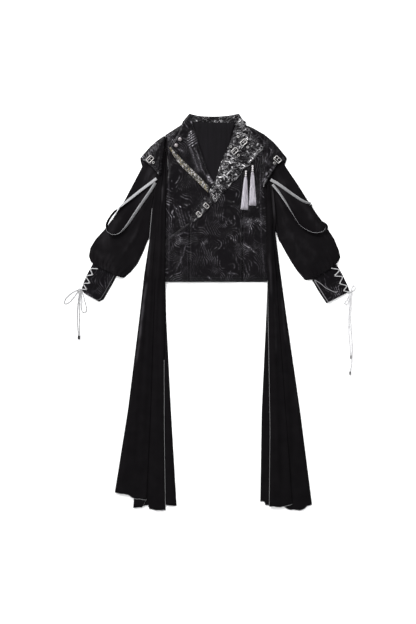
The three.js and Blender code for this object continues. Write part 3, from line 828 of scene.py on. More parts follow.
def edge_distance(spots, ring):
    """How far each point is from a closed outline."""
    best = np.full(len(spots), 1e9)
    for a, b in zip(ring, np.roll(ring, -1, axis=0)):
        span = b - a
        size = max(float(span @ span), 1e-18)
        share = np.clip(((spots - a) @ span) / size, 0, 1)
        near = a + share[:, None] * span
        best = np.minimum(best, np.linalg.norm(spots - near, axis=1))
    return best


def ease(value):
    """0 below 0, 1 above 1, smooth between them."""
    value = min(1.0, max(0.0, value))
    return value * value * (3 - 2 * value)


def crease(x, y, line):
    """A crease's height at a point, soft at its ends: (x0, y0, x1, y1, width, height), in millimetres."""
    x0, y0, x1, y1, width, height = line
    px, py = x / MM - x0, y / MM - y0
    dx, dy = x1 - x0, y1 - y0
    share = (px * dx + py * dy) / (dx * dx + dy * dy)
    if not -0.15 < share < 1.15:
        return 0.0
    off = (px * dy - py * dx) / math.hypot(dx, dy)
    ends = ease((share + 0.15) / 0.4) * ease((1.15 - share) / 0.4)
    return height * MM * math.exp(-((off / width) ** 2)) * ends


def spots_value(x, y, spots):
    """Strongest of some soft round patches at a point: (x, y, radius, amount), in millimetres."""
    best = 0.0
    for cx, cy, radius, amount in spots:
        far = math.hypot(x / MM - cx, y / MM - cy) / radius
        best = max(best, amount * math.exp(-far * far))
    return best


def lines_value(x, y, lines):
    """How bright some lines make a point: (x0, y0, x1, y1, width, amount), in millimetres."""
    return sum(crease(x, y, line) for line in lines) / MM


def relief(x, y, creases=(), swell=0.0, crinkle=0.0, seed=0.0):
    """How far the cloth stands off what it lies on: creases, soft swells and sharp crinkles, in metres."""
    height = sum(crease(x, y, line) for line in creases)
    if swell:
        height += swell * MM * (0.5 + noise.noise(Vector((x * 17, y * 17, seed))))
    if crinkle:
        wrinkles = noise.turbulence(Vector((x * 30, y * 30, seed + 5)), 3, True)
        height += crinkle * MM * (1 - wrinkles)
    return max(0.0, height)


# ---------------------------------------------------------------- attaching pieces


def belongs(made, *nodes, slot=None):
    """The piece rides with the garment and stands for its CAD nodes."""
    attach(made, "root")
    if nodes:
        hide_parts(*nodes)
    return made


# ---------------------------------------------------------------- flat panels


def paint_light(made, shine, glints):
    """Paints a soft painted sheen where a piece shines, and painted highlights along its creases."""
    spots = [(v.co.x, v.co.y) for v in made.data.vertices]
    paint(made, "shine", [spots_value(x, y, shine) for x, y in spots])
    paint(made, "glint", [min(1.0, lines_value(x, y, glints)) for x, y in spots])


def panel(
    node, look, thickness=CLOTH, step=5 * MM, creases=(), swell=0.0, crinkle=0.0, shine=(), glints=(),
    rise=14 * MM, slope=0.3, bulge=0.0, seed=0.0, lift=GAP,
):
    """One flat cut piece over its CAD solid, laid on the pile, with its creases. Adds itself to the pile.

    step is the size of its triangles, and rise the width over which it comes up from its sewn edge.
    """
    spots, faces, distance = filled(rounded(outline(node), step * 0.8), step)
    under = settle(spots, faces, lift, slope)
    points = []
    for (x, y), z, far in zip(spots, under, distance):
        up = relief(x, y, creases, swell, crinkle, seed) + bulge * MM
        points.append((x, y, z + up * ease(far / rise)))
    made = thick(f"{node}_cloth", points, faces, thickness, look, straight_up=True)
    paint_light(made, shine, glints)
    PILE.add(made)
    return made


# Creases are (x0, y0, x1, y1, width, height), and shine is (x, y, radius, amount), in millimetres.
BODICE_SHINE = [
    (-135, 345, 55, 1.0), (-118, 300, 36, 1.0), (-125, 255, 40, 0.7), (42, 325, 30, 1.0),
    (130, 318, 45, 1.0), (150, 380, 35, 0.6), (-40, 245, 30, 0.8), (70, 258, 32, 1.0),
    (10, 215, 60, 0.4), (110, 215, 40, 0.5), (20, 135, 40, 0.35), (85, 130, 35, 0.35),
    (-150, 130, 40, 0.4), (-160, 600, 45, 0.8), (150, 590, 45, 0.5), (40, 400, 35, 0.5),
    (-150, 450, 45, 0.5),
]
FRONT_RIGHT_CREASES = [
    (-168, 420, -150, 330, 9, 3.0),
    (-146, 415, -128, 300, 7, 2.6),
    (-122, 400, -112, 320, 6, 2.2),
    (-100, 390, -92, 350, 6, 2.0),
    (-160, 320, -100, 312, 8, 2.2),
    (-150, 500, -170, 420, 14, 2.5),
    (-160, 610, -120, 560, 12, 2.0),
]
FRONT_LEFT_CREASES = [
    (-60, 290, -20, 262, 9, 2.2),
    (-30, 240, -40, 170, 8, 2.0),
    (-8, 262, 0, 190, 9, 2.4),
    (20, 300, 60, 250, 9, 2.6),
    (70, 300, 88, 235, 8, 2.8),
    (44, 215, 82, 190, 10, 2.4),
    (0, 330, 60, 350, 12, 2.2),
    (30, 392, 82, 352, 9, 2.8),
    (-20, 140, 40, 122, 9, 2.2),
    (55, 118, 88, 122, 7, 2.4),
    (-70, 150, -40, 250, 13, 2.0),
]
SIDE_CREASES = [
    (98, 238, 146, 203, 4.5, 3.4),
    (120, 300, 150, 250, 9, 2.4),
    (110, 410, 124, 330, 9, 2.6),
    (150, 420, 160, 340, 10, 2.6),
    (130, 170, 175, 130, 9, 2.2),
    (140, 560, 150, 470, 12, 2.0),
    (185, 330, 180, 200, 9, 2.0),
]
WRAP_CREASES = [
    (-100, 232, -136, 142, 6, 3.0),
    (-125, 250, -165, 190, 8, 2.2),
    (-165, 170, -195, 130, 9, 2.0),
]
# Where a crease's crest catches the light: (x0, y0, x1, y1, width, amount).
BODICE_GLINTS = [
    (98, 238, 122, 223, 1.7, 0.8), (122, 223, 145, 203, 1.6, 0.75), (-27, 124, -14, 114, 2.0, 0.7),
    (44, 135, 70, 134, 1.8, 0.5), (-104, 236, -112, 200, 1.6, 0.4), (-112, 200, -139, 142, 1.4, 0.35),
    (-136, 265, -112, 278, 1.8, 0.4), (-112, 278, -92, 274, 1.8, 0.4), (-146, 375, -128, 330, 1.5, 0.5),
    (-134, 372, -112, 300, 1.4, 0.45), (-120, 360, -104, 300, 1.4, 0.45), (-108, 350, -96, 318, 1.4, 0.45),
    (-96, 350, -84, 322, 1.5, 0.5), (-128, 330, -120, 296, 1.5, 0.5), (47, 322, 58, 308, 1.8, 0.6),
    (88, 322, 92, 302, 1.6, 0.45), (104, 150, 118, 128, 1.4, 0.45), (16, 340, 40, 325, 1.6, 0.35),
    (32, 305, 48, 330, 1.4, 0.4), (-24, 400, -60, 372, 1.7, 0.4), (-121, 220, -120, 164, 2.4, 0.2),
    (62, 262, 84, 232, 1.4, 0.35), (50, 268, 70, 240, 1.4, 0.3), (-128, 500, -118, 488, 2.2, 0.25),
    (-164, 480, -162, 340, 1.5, 0.22), (-161, 330, -163, 150, 1.5, 0.22), (157, 500, 158, 390, 1.5, 0.34),
    (158, 380, 160, 260, 1.5, 0.34), (161, 245, 172, 130, 1.4, 0.26),
]
NECK_RISE = 8 * MM  # how much higher the neck band's lower edge lies than its solid's
NECK_FROM = 674 * MM  # below this height the neck band is drawn up
NECK_BLEND = 17 * MM
LINING_FROM = 630 * MM  # above this height the lining is drawn up, to follow the neck band
LINING_RISE = NECK_RISE + 3 * MM


def add_bodice():
    belongs(panel("back", "jacquard", crinkle=0.8, swell=0.6, seed=3, lift=0), "back", slot="jacquard")
    lining = panel("back_lining", "lining", swell=0.8, seed=8)
    for vertex in lining.data.vertices:
        vertex.co.y += LINING_RISE * ease((vertex.co.y - LINING_FROM) / NECK_BLEND)
    belongs(lining, "back_lining", slot="lining")
    right = panel(
        "front_right", "jacquard", step=3.4 * MM, creases=FRONT_RIGHT_CREASES, crinkle=2.2, swell=1.4,
        shine=BODICE_SHINE, glints=BODICE_GLINTS, seed=1,
    )
    belongs(right, "front_right", slot="jacquard")
    pieces = {
        "front_left": (FRONT_LEFT_CREASES, 9 * MM),
        "front_left_side": (SIDE_CREASES, 9 * MM),
        "front_left_wrap": (WRAP_CREASES, 22 * MM),
    }
    for node, (creases, rise) in pieces.items():
        made = panel(
            node, "jacquard", step=3.4 * MM, creases=creases, crinkle=2.4, swell=1.4, shine=BODICE_SHINE,
            glints=BODICE_GLINTS, seed=2, rise=rise,
        )
        belongs(made, node, slot="jacquard")


# ---------------------------------------------------------------- collar, lapels and bands

RIGHT_LAPEL_CREASES = [
    (-88, 574, -56, 486, 4.5, 3.4),
    (-66, 572, -45, 480, 4.0, 3.6),
    (-52, 520, -30, 470, 4.0, 2.6),
    (-118, 566, -98, 540, 8, 2.2),
    (-28, 478, -14, 452, 6, 2.4),
]
# The short slanting ribs below the right collar tip, and the long folds under them, catch the light.
LAPEL_RIBS = [
    (-93, 625, -81, 634, 2.2, 1.8), (-96, 615, -76, 630, 2.2, 2.2), (-99, 605, -73, 624, 2.2, 2.4),
    (-101, 596, -70, 617, 2.2, 2.4), (-100, 588, -67, 609, 2.2, 2.4), (-96, 581, -64, 602, 2.2, 2.2),
    (-90, 574, -62, 594, 2.2, 1.8),
]
RIGHT_LAPEL_GLINTS = [
    *[(x0, y0, x1, y1, 1.3, 1.0) for x0, y0, x1, y1, _, _ in LAPEL_RIBS],
    (-90, 580, -82, 560, 3.0, 0.36), (-82, 560, -71, 528, 3.6, 0.4), (-71, 528, -57, 491, 3.6, 0.36),
    (-76, 576, -65, 556, 2.6, 0.3), (-65, 556, -55, 528, 2.8, 0.5), (-55, 528, -46, 488, 2.8, 0.4),
    (-118, 664, -124, 646, 1.6, 0.6), (-124, 646, -130, 623, 1.6, 0.5), (-86, 669, -82, 657, 2.2, 0.7),
    (-150, 617, -120, 606, 3, 0.3), (-132, 571, -110, 560, 2.6, 0.4), (-46, 500, -36, 478, 2, 0.3),
    (-30, 480, -18, 462, 5, 0.9), (-18, 464, -10, 450, 5, 1.0), (-24, 470, -26, 456, 3, 0.7),
]
RIGHT_LAPEL_SHINE = [(-120, 600, 30, 0.2), (-40, 490, 40, 0.3), (-140, 580, 35, 0.25), (-110, 640, 30, 0.4)]
LEFT_LAPEL_SHINE = [
    (155, 572, 16, 0.9), (132, 540, 16, 0.8), (50, 535, 26, 0.9), (90, 510, 20, 0.8), (35, 490, 26, 0.9),
    (65, 470, 16, 0.8), (20, 430, 20, 0.6), (85, 655, 16, 0.6), (5, 400, 16, 0.7),
]
LEFT_LAPEL_GLINTS = [
    (166, 578, 169, 572, 1.8, 0.9), (169, 572, 152, 557, 1.8, 0.9), (152, 557, 132, 540, 1.8, 0.8),
    (132, 540, 112, 520, 1.8, 0.7), (150, 590, 144, 581, 2.2, 1.0), (154, 573, 162, 562, 2.0, 0.9),
    (138, 571, 150, 563, 1.8, 0.8), (119, 544, 134, 536, 2.0, 0.8), (107, 507, 92, 516, 2.0, 1.0),
    (92, 516, 80, 520, 2.0, 0.9), (84, 501, 104, 505, 1.8, 0.8), (8, 470, 37, 478, 1.8, 0.9),
    (37, 478, 60, 501, 2.0, 1.0), (60, 501, 57, 509, 2.0, 1.0), (29, 528, 57, 524, 2.0, 0.9),
    (57, 524, 76, 520, 1.8, 0.7), (22, 513, 27, 497, 2.0, 0.8), (41, 551, 60, 542, 2.2, 0.9),
    (60, 542, 57, 532, 2.2, 0.9), (68, 483, 79, 474, 2.0, 0.9), (79, 474, 65, 459, 1.8, 0.8),
    (56, 453, 42, 432, 2.0, 0.9), (40, 446, 52, 439, 1.6, 0.7), (0, 383, 6, 396, 2.0, 1.0),
    (6, 396, 14, 411, 1.8, 0.7), (-12, 406, 0, 383, 1.6, 0.8), (2, 443, 25, 439, 1.6, 0.6),
    (25, 439, 22, 427, 1.6, 0.6), (-9, 427, 10, 435, 1.6, 0.6), (6, 464, 2, 450, 1.6, 0.8),
    (68, 656, 95, 660, 1.6, 0.7), (95, 660, 92, 642, 1.6, 0.8), (57, 606, 80, 614, 1.6, 0.6),
    (49, 590, 76, 579, 1.6, 0.6), (76, 579, 92, 575, 1.6, 0.5), (47, 573, 64, 551, 2.0, 0.7),
    (96, 633, 113, 643, 1.6, 0.8), (108, 566, 118, 552, 2.0, 0.6), (37, 540, 46, 558, 1.8, 0.7),
]
LEFT_LAPEL_CREASES = [
    (48, 580, 100, 566, 6, 3.6),
    (28, 540, 82, 558, 6, 4.0),
    (10, 488, 62, 520, 6, 4.4),
    (22, 500, 88, 508, 5, 3.6),
    (86, 600, 150, 590, 6, 3.0),
    (0, 452, 52, 470, 6, 4.0),
    (-16, 425, 20, 442, 6, 3.4),
    (100, 550, 150, 556, 7, 3.2),
]
CLOSURE_GLINTS = [
    (0, 381, -19, 357, 1.5, 0.5), (-19, 357, -43, 337, 1.5, 0.6), (-43, 337, -72, 310, 1.5, 0.6),
    (-22, 380, -12, 392, 1.6, 0.5), (-46, 352, -36, 362, 1.6, 0.5), (-78, 316, -66, 328, 1.6, 0.6),
]


def add_collar():
    stand = panel(
        "neck_band", "foil_dark", thickness=1.6 * MM, step=3.5 * MM, crinkle=1.6, rise=4 * MM, seed=11,
    )
    for vertex in stand.data.vertices:
        vertex.co.y += NECK_RISE * ease((NECK_FROM - vertex.co.y) / NECK_BLEND)
    belongs(stand, "neck_band", slot="foil")
    right = panel(
        "lapel_right", "jacquard", thickness=1.2 * MM, step=2.2 * MM, crinkle=1.6, swell=1.0, rise=6 * MM,
        bulge=0.5, seed=4, creases=RIGHT_LAPEL_CREASES + LAPEL_RIBS, shine=RIGHT_LAPEL_SHINE,
        glints=RIGHT_LAPEL_GLINTS,
    )
    belongs(right, "lapel_right", slot="jacquard")
    left = panel(
        "lapel_left", "foil", thickness=1.2 * MM, step=2.2 * MM, crinkle=4.0, swell=1.6, rise=6 * MM,
        bulge=0.4, seed=6, creases=LEFT_LAPEL_CREASES, shine=LEFT_LAPEL_SHINE, glints=LEFT_LAPEL_GLINTS,
    )
    belongs(left, "lapel_left", slot="foil")
    band = panel(
        "closure_band", "foil_faint", step=2.2 * MM, crinkle=1.4, rise=3 * MM, seed=9,
        glints=CLOSURE_GLINTS,
    )
    belongs(band, "closure_band", slot="foil")
    strip = panel("brocade_strip", "brocade", step=3 * MM, swell=0.4, rise=4 * MM, bulge=0.3, seed=10)
    belongs(strip, "brocade_strip", slot="brocade")


# ---------------------------------------------------------------- sleeves and cuffs

# Guides are rows from the armhole to the wrist: a point on the row, in millimetres, and the direction, in
# degrees, in which it runs from the arm's inner side to its outer side. The solid gives where a row ends.
SLEEVE_GUIDES = {
    "right": [
        (-200, 497, 82), (-226, 461, 96), (-238, 421, 102), (-260, 364, 117), (-278, 322, 125),
        (-302, 277, 139), (-322, 245, 145), (-346, 211, 150), (-367, 182, 149), (-380, 161, 150),
        (-386, 150, 154),
    ],
    "left": [
        (193.5, 497, 97), (216, 463, 85), (227, 426, 77), (248, 380, 60), (268, 336, 46), (290, 294, 37),
        (316, 254, 32), (339, 217, 28), (358, 180, 27), (372, 157, 31), (379, 143, 33),
    ],
}
CUFF_GUIDES = {
    "right": [(-388, 147, 154), (-403, 118, 155), (-418, 88, 155), (-430, 61, 155), (-433, 51, 151)],
    "left": [(380.5, 140, 33), (401, 104, 34), (419, 71, 31), (427, 55, 28), (425, 49, 27)],
}
SLEEVE_GRID = (96, 56)  # rows, and points across
CUFF_GRID = (40, 34)
CUFF_INSIDE = 7 * MM  # how far the cuff goes on inside the sleeve
OVERHANG = 6 * MM  # how far the gathered sleeve puffs out over its cuff
ARMHOLE_REACH = 7 * MM  # how far the sleeve goes on under the streamer
LAYERS_APART = 1.2 * MM  # a flattened tube's two layers, at its sides
SIDE_FOLD = 0.9 * MM  # height of the fold at each side
ARCH = 1.7 * MM  # how far the upper layer arches up between them
PUFF_FROM = 0.86  # the share of its length from which a sleeve puffs out
# How a puffed end tucks in again past its last row: (share of the puff outwards, millimetres up).
TUCK = [(0.93, -0.5), (0.7, -0.9), (0.2, -1.1), (-0.1, -1.8), (-0.2, -3.0)]


def guide(table, share):
    """Point and direction of a row, between the listed ones."""
    at = share * (len(table) - 1)
    k = min(int(at), len(table) - 2)
    x, y, angle = (a + (b - a) * (at - k) for a, b in zip(table[k], table[k + 1]))
    return Vector((x * MM, y * MM)), Vector((math.cos(math.radians(angle)), math.sin(math.radians(angle))))


def row_ends(node, table, share, reach=0.0):
    """Inner and outer end of a row across a flattened tube. `reach` moves the inner one near the armhole."""
    centre, along = guide(table, share)
    low, high = section(node, centre, along)
    low -= reach * ease((0.45 - share) / 0.12)
    return centre + along * low, centre + along * high


def row_before(ends, inside):
    """Ends of one more row, `inside` before the first one and a little narrower."""
    (inner, outer), (next_inner, next_outer) = ends[:2]
    back = ((inner + outer) - (next_inner + next_outer)).normalized() * inside
    narrow = (outer - inner).normalized() * inside * 0.4
    return inner + back + narrow, outer + back - narrow


def flat_tube(
    node, table, rows, across, height, thickness, look, stand_off, puff=0.0, reach=0.0, inside=0.0,
):
    """A flattened tube over its CAD solid: a layer on the pile, a crowned one above, and folds at the sides.

    height is how far the crown stands over the lower layer, and stand_off(x, y, along, over) adds folds.
    puff lets the upper layer swell out past the last row, and tuck in again. inside is how far the tube goes
    on past its first row, into the tube above it.
    """
    ends = [row_ends(node, table, k / (rows - 1), reach) for k in range(rows)]
    if inside:
        ends.insert(0, row_before(ends, inside))
        rows += 1
    shares = [k / (across - 1) for k in range(across)]
    spots = [inner.lerp(outer, t) for inner, outer in ends for t in shares]
    base = settle(spots, grid_faces(rows, across)).reshape(rows, across)
    out = (sum(ends[-1], Vector((0, 0))) - sum(ends[-2], Vector((0, 0)))).normalized()
    points = []
    for k in range(rows + (len(TUCK) if puff else 0)):
        row = min(k, rows - 1)
        inner, outer = ends[row]
        along = row / (rows - 1)
        push, down = puff * ease((along - PUFF_FROM) / (1 - PUFF_FROM)), 0.0
        if k >= rows:
            push, down = puff * TUCK[k - rows][0], TUCK[k - rows][1] * MM
        back = out * (LAYERS_APART if puff and k >= rows - 1 else 0.0)
        upper, lower = [], []
        for t, z in zip(shares, base[row]):
            place = inner.lerp(outer, 0.006 + 0.988 * t)
            crown = 1 - (2 * t - 1) ** 6
            up = ARCH + height + stand_off(place.x, place.y, along, t) + down
            upper.append(Vector((*(place + out * push * crown), z + LAYERS_APART + up * crown)))
            lower.append(Vector((*(place - back), z)))
        inner_fold = Vector((*inner, base[row][0] + SIDE_FOLD))
        outer_fold = Vector((*outer, base[row][-1] + SIDE_FOLD))
        points += [inner_fold, *upper, outer_fold, *reversed(lower)]
    columns = 2 * across + 2
    faces = grid_faces(len(points) // columns, columns, ring=True)
    faces = turned_up(points, faces, (rows // 2) * columns + across // 2)
    return thick(f"{node}_cloth", points, faces, thickness, look)


SLEEVE_CREASES = {
    "right": [
        (-215, 520, -262, 420, 9, 3.0), (-212, 470, -285, 350, 12, 3.4), (-225, 410, -300, 290, 9, 2.6),
        (-240, 545, -300, 440, 10, 2.2), (-330, 330, -400, 240, 14, 2.4), (-270, 290, -330, 190, 9, 2.6),
        (-300, 370, -360, 300, 12, 2.0), (-250, 350, -290, 240, 8, 2.0),
    ],
    "left": [
        (200, 520, 250, 420, 10, 3.0), (205, 470, 268, 356, 11, 3.2), (212, 410, 262, 300, 8, 2.6),
        (232, 540, 290, 450, 10, 2.2), (318, 350, 396, 250, 14, 2.4), (240, 320, 300, 196, 9, 2.8),
        (290, 400, 350, 320, 12, 2.2), (226, 360, 250, 262, 7, 2.0),
    ],
}
CUFF_CREASES = {
    "right": [(-372, 112, -400, 60, 4, 1.4), (-400, 128, -432, 66, 5, 1.5), (-392, 86, -424, 70, 4, 1.4)],
    "left": [(342, 106, 372, 84, 3.5, 2.0), (370, 84, 394, 66, 3.5, 2.0), (390, 66, 424, 66, 4, 2.0)],
}
CUFF_GLINTS = {
    "right": [(-458, 70, -432, 56, 1.8, 0.4), (-366, 112, -380, 88, 1.6, 0.12)],
    "left": [(402, 70, 410, 58, 1.8, 0.4), (400, 92, 408, 84, 1.6, 0.2), (360, 120, 366, 110, 1.6, 0.15)],
}
CUFF_SHINE = {"right": [(-412, 100, 40, 0.2)], "left": [(424, 68, 26, 0.9), (386, 100, 24, 0.5)]}


def sleeve_folds(side, seed):
    """Soft folds down the arm, and the gathers at both ends."""

    def stand_off(x, y, along, over):
        height = relief(x, y, SLEEVE_CREASES[side], swell=1.6, seed=seed)
        wander = noise.noise(Vector((over * 3, along * 2.2, seed)))
        gather = 0.5 + 0.5 * math.sin(2 * math.pi * (8.5 * over + 1.1 * wander + 0.6 * along))
        small = 0.5 + 0.5 * math.sin(2 * math.pi * (19 * over + 1.9 * wander))
        at_cuff = ease((along - 0.62) / 0.38)
        height += (4.6 * gather * at_cuff**1.6 + 2.0 * small * at_cuff**3) * MM
        at_armhole = ease((0.3 - along) / 0.3)
        return height + 1.8 * gather * at_armhole * MM

    return stand_off


def sleeve_light(sleeve, side, seed):
    """How much each spot of a sleeve catches the light: more on the crests of its long folds."""
    values = []
    for vertex in sleeve.data.vertices:
        x, y = vertex.co.x, vertex.co.y
        crest = relief(x, y, SLEEVE_CREASES[side], swell=1.6, seed=seed) / (3 * MM)
        broad = noise.noise(Vector((x * 9, y * 7, seed)))
        values.append(max(0.0, 0.16 * crest + 0.16 * broad))
    return values


def cuff_folds(side, seed):
    """Creases and small crinkles."""

    def stand_off(x, y, along, over):
        return relief(x, y, CUFF_CREASES[side], swell=0.8, crinkle=1.0, seed=seed)

    return stand_off


def add_sleeves():
    for side in SIDES:
        seed = 20 + SIGN[side]
        sleeve = flat_tube(
            f"sleeve_{side}", SLEEVE_GUIDES[side], *SLEEVE_GRID, 1.0 * MM, CREPE, "crepe",
            sleeve_folds(side, seed), puff=OVERHANG, reach=ARMHOLE_REACH,
        )
        belongs(sleeve, f"sleeve_{side}", slot="crepe")
        paint(sleeve, "glint", sleeve_light(sleeve, side, seed))
        cuff = flat_tube(
            f"cuff_{side}", CUFF_GUIDES[side], *CUFF_GRID, 0.2 * MM, 1.0 * MM, "jacquard_sleeve",
            cuff_folds(side, seed), inside=CUFF_INSIDE,
        )
        paint_light(cuff, CUFF_SHINE[side], CUFF_GLINTS[side])
        belongs(cuff, f"cuff_{side}", slot="jacquard")
        PILE.add(cuff)
        PILE.add(sleeve)
        add_piping(side)


PIPING = 1.1 * MM  # radius
# Each cuff's piping: its look, and its lines as (share of the length, share of the width).
CUFF_PIPING = {
    "right": ("piping", [
        [(0.0, 0.09), (0.25, 0.1), (0.6, 0.1), (0.86, 0.11), (0.93, 0.2)],
    ]),
    "left": ("piping_silver", [
        [(0.02, 0.06), (0.3, 0.08), (0.7, 0.08), (0.93, 0.09), (0.985, 0.18)],
        [(0.02, 0.06), (0.14, 0.18), (0.3, 0.27), (0.42, 0.38), (0.53, 0.5), (0.56, 0.6)],
    ]),
}


def add_piping(side):
    """Raised lines of piping on a cuff: beside its inner edge, and on the left one across it too."""
    look, lines = CUFF_PIPING[side]
    parts = []
    for stops in lines:
        route = []
        for share, over in stops:
            inner, outer = row_ends(f"cuff_{side}", CUFF_GUIDES[side], share)
            route.append(inner.lerp(outer, over).to_3d())
        line = even_line(smooth_line(route), 2 * MM)
        raised = [Vector((p.x, p.y, PILE.top(p.x, p.y) + PIPING * 0.5)) for p in line]
        ends = [min(1.0, 0.4 + 0.3 * min(k, len(raised) - 1 - k)) for k in range(len(raised))]
        parts.append(tube(raised, [PIPING * end for end in ends], 6))
    made = joined(f"cuff_piping_{side}", parts, look)
    belongs(made, slot="jacquard")


# ---------------------------------------------------------------- shoulder caps

# As the sleeves' guides: rows from the bodice outwards, each from the cap's front edge up to its fold.
CAP_GUIDES = {
    "right": [(-190.3, 545, 84), (-206.5, 545, 88), (-225, 541, 91), (-243, 538, 93), (-262.6, 534, 96)],
    "left": [(172.6, 527, 87), (193, 531, 84), (210.5, 532, 83), (228, 534, 84), (248.6, 534, 88)],
}
CAP_ROWS = 44
CAP_ACROSS = 40  # points from the fold to the front edge
STRAP_ENDS = {"right": -257.5 * MM, "left": 243.5 * MM}  # x of the outer end of each cap's strap
CAP_SEAM = 8 * MM  # how far the cap reaches on over the front, where it is sewn in
CAP_TURN = 9 * MM  # width over which the front comes down to the fold
CAP_FOLD = (1.6 * MM, 2.6 * MM)  # heights of the last two points round the fold
CAP_EDGE = 3.4 * MM  # height that the front comes down to beside the fold
CAP_CREASES = {
    "right": [
        (-200, 590, -214, 520, 6, 3.0), (-222, 570, -226, 520, 6, 2.6), (-240, 556, -238, 530, 5, 2.2),
        (-192, 540, -204, 496, 5, 2.6),
    ],
    "left": [
        (186, 590, 180, 500, 7, 3.0), (204, 584, 196, 510, 6, 2.8), (222, 566, 212, 530, 6, 2.4),
        (176, 520, 176, 462, 5, 2.6),
    ],
}
CAP_SHINE = {
    "right": [(-196, 584, 24, 0.6), (-238, 548, 22, 0.55), (-218, 560, 90, 0.14)],
    "left": [
        (178, 478, 24, 1.0), (196, 504, 20, 0.8), (190, 568, 22, 0.6), (222, 528, 18, 0.5),
        (172, 520, 16, 0.7), (165, 597, 16, 0.6), (200, 530, 90, 0.14),
    ],
}
CAP_GLINTS = {
    "right": [
        (-258, 538, -250, 548, 2.4, 0.9), (-216, 588, -203, 593, 2.5, 0.6),
        (-222, 580, -211, 566, 2.2, 0.4), (-229, 571, -217, 560, 2.2, 0.35),
        (-236, 562, -226, 552, 2.2, 0.35),
    ],
    "left": [
        (176, 476, 180, 488, 2.6, 1.0), (190, 499, 197, 494, 2.2, 0.8), (195, 508, 204, 503, 2.2, 0.8),
        (166, 445, 174, 468, 2.6, 0.5), (168, 462, 176, 470, 2.0, 0.5), (172, 532, 190, 517, 6.0, 0.2),
    ],
}
STRAP_SHINE = [(175, 455, 22, 0.9), (195, 500, 20, 0.8), (215, 535, 16, 0.6), (-215, 535, 16, 0.5)]
STRAP_GLINTS = [
    (164, 433, 178, 465, 2.0, 0.6), (170, 456, 180, 480, 1.6, 0.6), (178, 478, 181, 486, 2.6, 1.0),
    (190, 496, 198, 504, 2.0, 0.9), (195, 510, 205, 502, 1.6, 0.7), (184, 486, 190, 494, 1.6, 0.6),
]


def cap_rows(side):
    """For each row: its ends at the front edge, at the fold and at the back edge."""
    rows = []
    for k in range(CAP_ROWS):
        share = k / (CAP_ROWS - 1)
        centre, along = guide(CAP_GUIDES[side], share)
        low, high = section(f"cap_{side}", centre, along)
        # Past the strap's outer end, the front edge goes on at a slope.
        past = max(0.0, abs(centre.x) - abs(STRAP_ENDS[side]))
        beside = Vector((centre.x - SIGN[side] * past, centre.y))
        front = section(f"cap_strap_{side}", beside, along)[0] - 0.5 * MM + 0.4 * past
        back = low if side == "right" else min(front + 10 * MM, low)
        rows.append((centre + along * front, centre + along * high, centre + along * back))
    seam = Vector((-SIGN[side] * CAP_SEAM, CAP_SEAM * 0.3))
    return [tuple(p + seam for p in rows[0]), *rows]


def add_cap_back(side):
    """The cap's back layer, under the sleeve. It is kept in the pile, and made again with the front."""
    rows = cap_rows(side)
    shares = [k / 9 for k in range(10)]
    points = [(*fold.lerp(back, t), GAP) for _, fold, back in rows for t in shares]
    faces = grid_faces(len(rows), len(shares))
    layer = thick("cap_back_layer", points, faces, CLOTH, "jacquard", straight_up=True)
    PILE.add(layer)
    bpy.data.objects.remove(layer)


def cap_line(front, fold, back, tops, calm, side):
    """One row of a cap's outer side: along the back, round the fold and over the front to its edge."""
    line = [(*fold.lerp(back, t), GAP + CLOTH) for t in (1, 0.75, 0.5, 0.25, 0.06)]
    turn = fold - (fold - back).normalized() * 0.4 * MM
    line += [(*turn, CAP_FOLD[0]), (*fold, CAP_FOLD[1])]
    for k in range(1, CAP_ACROSS):
        place = fold.lerp(front, k / (CAP_ACROSS - 1))
        weight = ease((place - fold).length / CAP_TURN)
        up = relief(place.x, place.y, CAP_CREASES[side], 1.2, 3.0, 30 + SIGN[side]) * calm
        rise = CAP_EDGE * (1 - weight) + tops[k] * weight
        line.append((*place, rise + CLOTH + up * weight))
    return line


def add_cap(side):
    """A cap's cloth in one piece: its back layer, and its front one on the pile."""
    rows = cap_rows(side)
    shares = [k / (CAP_ACROSS - 1) for k in range(CAP_ACROSS)]
    spots = [fold.lerp(front, t) for front, fold, _ in rows for t in shares]
    tops = settle(spots, grid_faces(len(rows), CAP_ACROSS), slope=0.35).reshape(len(rows), CAP_ACROSS)
    points = []
    for k, row in enumerate(rows):
        calm = ease(min(k, len(rows) - 1 - k) / 5)
        points += cap_line(*row, tops[k], calm, side)
    columns = len(points) // len(rows)
    faces = turned_up(points, grid_faces(len(rows), columns), (CAP_ROWS // 2 + 1) * columns - 4)
    cap = thick(f"cap_{side}_cloth", points, faces, CLOTH, "jacquard_cap")
    paint_light(cap, CAP_SHINE[side], CAP_GLINTS[side])
    belongs(cap, f"cap_{side}", slot="jacquard")
    PILE.add(cap)
    return cap


def add_caps():
    for side in SIDES:
        cap = add_cap(side)
        strap = panel(
            f"cap_strap_{side}", "foil_strap", step=2.2 * MM, crinkle=1.6, shine=STRAP_SHINE,
            glints=STRAP_GLINTS, rise=3 * MM, bulge=0.3, seed=33,
        )
        belongs(strap, f"cap_strap_{side}", slot="foil")


# ---------------------------------------------------------------- streamers

